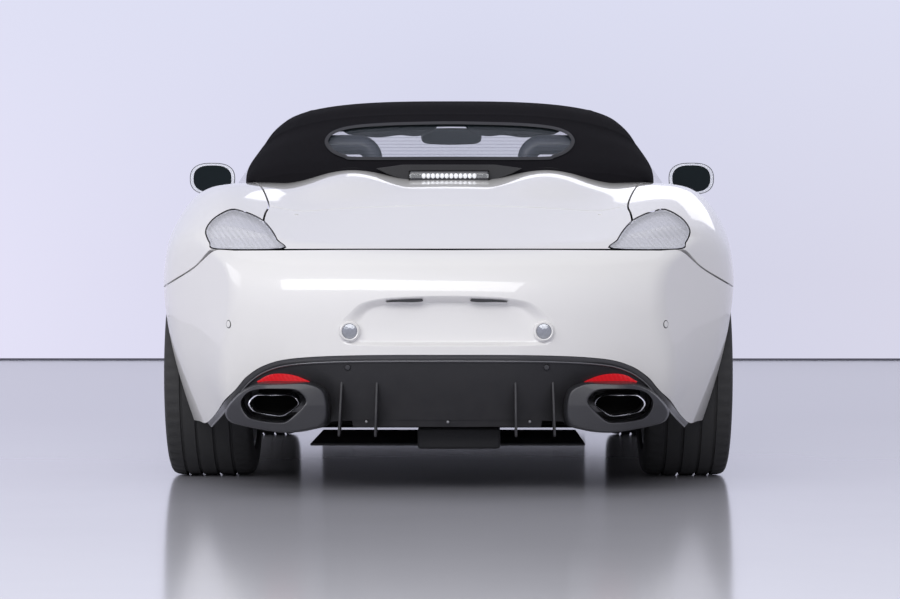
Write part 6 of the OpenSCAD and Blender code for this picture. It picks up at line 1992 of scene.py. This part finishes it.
@dataclass
class Studio:
    """Floor, wall colour, lamps and camera."""

    wall_y: float = 11.6
    half: float = 11.6
    camera_at: tuple[float, float, float] = (0.063, -10.68, 0.6435)
    lens: float = 117.8
    yaw: float = 0.358
    pitch: float = -0.477

    def build(self) -> None:
        """Build the whole studio."""
        self.floor()
        self.world()
        self.lamps()
        self.camera()

    def floor(self) -> None:
        """Polished pale floor whose colour darkens from the camera towards the car and beyond as painted light
        fall-off and shade, with a thin dark line where the wall starts.
        """
        bm = bmesh.new()
        bmesh.ops.create_grid(bm, x_segments=1, y_segments=1, size=1.0)
        bmesh.ops.scale(bm, vec=(self.half * 1.5, self.half, 1), verts=bm.verts[:])
        mesh = bpy.data.meshes.new("studio_floor")
        bm.to_mesh(mesh)
        bm.free()
        floor = bpy.data.objects.new("studio_floor", mesh)
        mat = bpy.data.materials.new("studio_floor_screed_painted_falloff")
        mat.use_nodes = True
        mat.node_tree.nodes.clear()
        g = Graph(mat.node_tree)
        at = g.add("ShaderNodeTexCoord").outputs["Object"]
        y = g.add("ShaderNodeSeparateXYZ", {0: at}).outputs["Y"]
        # Painted light fall-off and shade: the floor's colour is lighter near the camera and darker under and
        # beyond the car.
        ramp = g.add("ShaderNodeValToRGB",
            {"Fac": g.add("ShaderNodeMapRange", {"Value": y, "From Min": -11.0, "From Max": 11.0}).outputs[0]})
        ramp.color_ramp.elements[0].position, ramp.color_ramp.elements[0].color = 0.28, (0.72, 0.72, 0.79, 1)
        ramp.color_ramp.elements[1].position, ramp.color_ramp.elements[1].color = 0.62, (0.35, 0.345, 0.41, 1)
        noise = g.add("ShaderNodeTexNoise", {"Vector": at, "Scale": 1.3, "Detail": 6.0}).outputs["Fac"]
        tint = g.add("ShaderNodeMapRange", {"Value": noise, "To Min": 0.94, "To Max": 1.06}).outputs[0]
        color = g.add("ShaderNodeVectorMath", {0: ramp.outputs[0], "Scale": tint}, operation="SCALE").outputs[0]
        bump = g.add("ShaderNodeBump", {"Strength": 0.02, "Distance": 0.002,
                                        "Height": g.add("ShaderNodeTexNoise",
                                            {"Vector": at, "Scale": 60.0,
                                                "Detail": 4.0}).outputs["Fac"]}).outputs[0]
        shader = g.add("ShaderNodeBsdfPrincipled",
            {"Base Color": color, "Roughness": 0.14, "Specular IOR Level": 0.5, "Normal": bump})
        g.add("ShaderNodeOutputMaterial", {"Surface": shader.outputs[0]})
        mesh.materials.append(mat)
        line_mesh = bpy.data.meshes.new("studio_wall_line")
        bm = brick((-self.half * 1500, self.wall_y * 1000 - 20, 0.5), (self.half * 1500, self.wall_y * 1000, 13))
        bm.to_mesh(line_mesh)
        bm.free()
        line = bpy.data.objects.new("studio_wall_line", line_mesh)
        dark = bpy.data.materials.new("studio_wall_line_grey")
        dark.use_nodes = True
        dark.node_tree.nodes["Principled BSDF"].inputs["Base Color"].default_value = linear(118, 118, 132)
        dark.node_tree.nodes["Principled BSDF"].inputs["Roughness"].default_value = 0.9
        line_mesh.materials.append(dark)
        for obj in (floor, line):
            bpy.context.scene.collection.objects.link(obj)

    def world(self) -> None:
        """Pale wall for what the camera sees and what gloss and glass mirror; plain white for light."""
        world = bpy.data.worlds.new("studio")
        world.use_nodes = True
        world.node_tree.nodes.clear()
        g = Graph(world.node_tree)
        at = g.add("ShaderNodeTexCoord").outputs["Generated"]
        parts = g.add("ShaderNodeSeparateXYZ", {0: at})
        across = g.add("ShaderNodeValToRGB",
            {"Fac": g.add("ShaderNodeMapRange",
                    {"Value": parts.outputs["X"], "From Min": -0.155, "From Max": 0.155}).outputs[0]})
        ramp = across.color_ramp
        ramp.elements[0].position, ramp.elements[0].color = 0.0, linear(228, 226, 247)
        ramp.elements[1].position, ramp.elements[1].color = 1.0, linear(216, 215, 233)
        ramp.elements.new(0.5).color = linear(208, 209, 230)
        up = g.add("ShaderNodeMapRange", {"Value": parts.outputs["Z"], "From Min": 0.0, "From Max": 0.09,
                "To Min": 0.0, "To Max": 0.75}).outputs[0]
        wall = g.add("ShaderNodeMix", {"Factor": up, 6: across.outputs[0], 7: linear(222, 224, 244)},
            data_type="RGBA").outputs[2]
        path = g.add("ShaderNodeLightPath")
        seen = g.add("ShaderNodeMath", {0: path.outputs["Is Camera Ray"], 1: path.outputs["Is Glossy Ray"]},
            operation="MAXIMUM").outputs[0]
        seen = g.add("ShaderNodeMath", {0: seen, 1: path.outputs["Is Transmission Ray"]},
            operation="MAXIMUM").outputs[0]
        color = g.add("ShaderNodeMix", {"Factor": seen, 6: (0.42, 0.42, 0.435, 1), 7: wall},
            data_type="RGBA").outputs[2]
        back = g.add("ShaderNodeBackground", {"Color": color, "Strength": 1.0})
        g.add("ShaderNodeOutputWorld", {"Surface": back.outputs[0]})
        bpy.context.scene.world = world

    def lamps(self) -> None:
        """Soft lamps: a broad one behind the viewer, a ceiling and two sides."""
        for name, at, look, size, watts in (
                ("lamp_behind", (-2.5, -9.5, 4.6), (0, -2, 0.6), (12.0, 3.5), 520.0),
                ("lamp_ceiling", (0, 0, 6.0), (0, 0, 0), (7.0, 5.0), 35.0),
                ("lamp_left", (-7.5, -1, 3.2), (0, 0, 0.5), (4.0, 2.5), 45.0),
                ("lamp_ahead", (2, 9, 4.5), (0, 0, 0.5), (6.0, 2.5), 45.0)):
            data = bpy.data.lights.new(name, "AREA")
            data.shape, data.size, data.size_y, data.energy = "RECTANGLE", size[0], size[1], watts
            lamp = bpy.data.objects.new(name, data)
            lamp.location = at
            lamp.rotation_euler = (Vector(look) - Vector(at)).to_track_quat("-Z", "Y").to_euler()
            bpy.context.scene.collection.objects.link(lamp)

    def camera(self) -> None:
        """Long lens low behind the car."""
        data = bpy.data.cameras.new("view_from_behind")
        data.lens, data.sensor_width = self.lens, 36.0
        camera = bpy.data.objects.new("view_from_behind", data)
        camera.location = self.camera_at
        yaw, pitch = math.radians(self.yaw), math.radians(self.pitch)
        along = Vector((-math.sin(yaw) * math.cos(pitch), math.cos(yaw) * math.cos(pitch), math.sin(pitch)))
        camera.rotation_euler = along.to_track_quat("-Z", "Y").to_euler()
        bpy.context.scene.collection.objects.link(camera)
        bpy.context.scene.camera = camera
        bpy.context.scene.view_settings.view_transform = "Standard"


NODE_FINISHES = {
    "floor_pan": CHASSIS, "cabin_walls": CARPET, "engine": CASTING, "front_suspension": CHASSIS,
    "rear_suspension": CHASSIS,
    "wheel_liners": MOULDED, "windscreen_frame": PAINT_BLACK, "front_left_knuckle": CALIPER,
    "front_right_knuckle": CALIPER,
    "rear_knuckles": CALIPER,
}


def main() -> None:
    """Build the car in order."""
    logging.basicConfig(level=logging.INFO, format="%(name)s: %(message)s")
    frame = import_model()
    shop = Workshop()
    Studio().build()
    for part in (BodyShell(shop), PlateRecess(shop), Tail(shop), Glasshouse(shop), Cabin(shop), WheelSet(shop),
            Mirrors(shop), HeadLamps(shop)):
        part.build()
    for name, node in frame["nodes"].items():
        shop.dress(node, NODE_FINISHES.get(name, MOULDED))
    bpy.context.view_layer.update()
    LOG.info("%d pieces", len(shop.made))


if __name__ == "__main__":
    main()
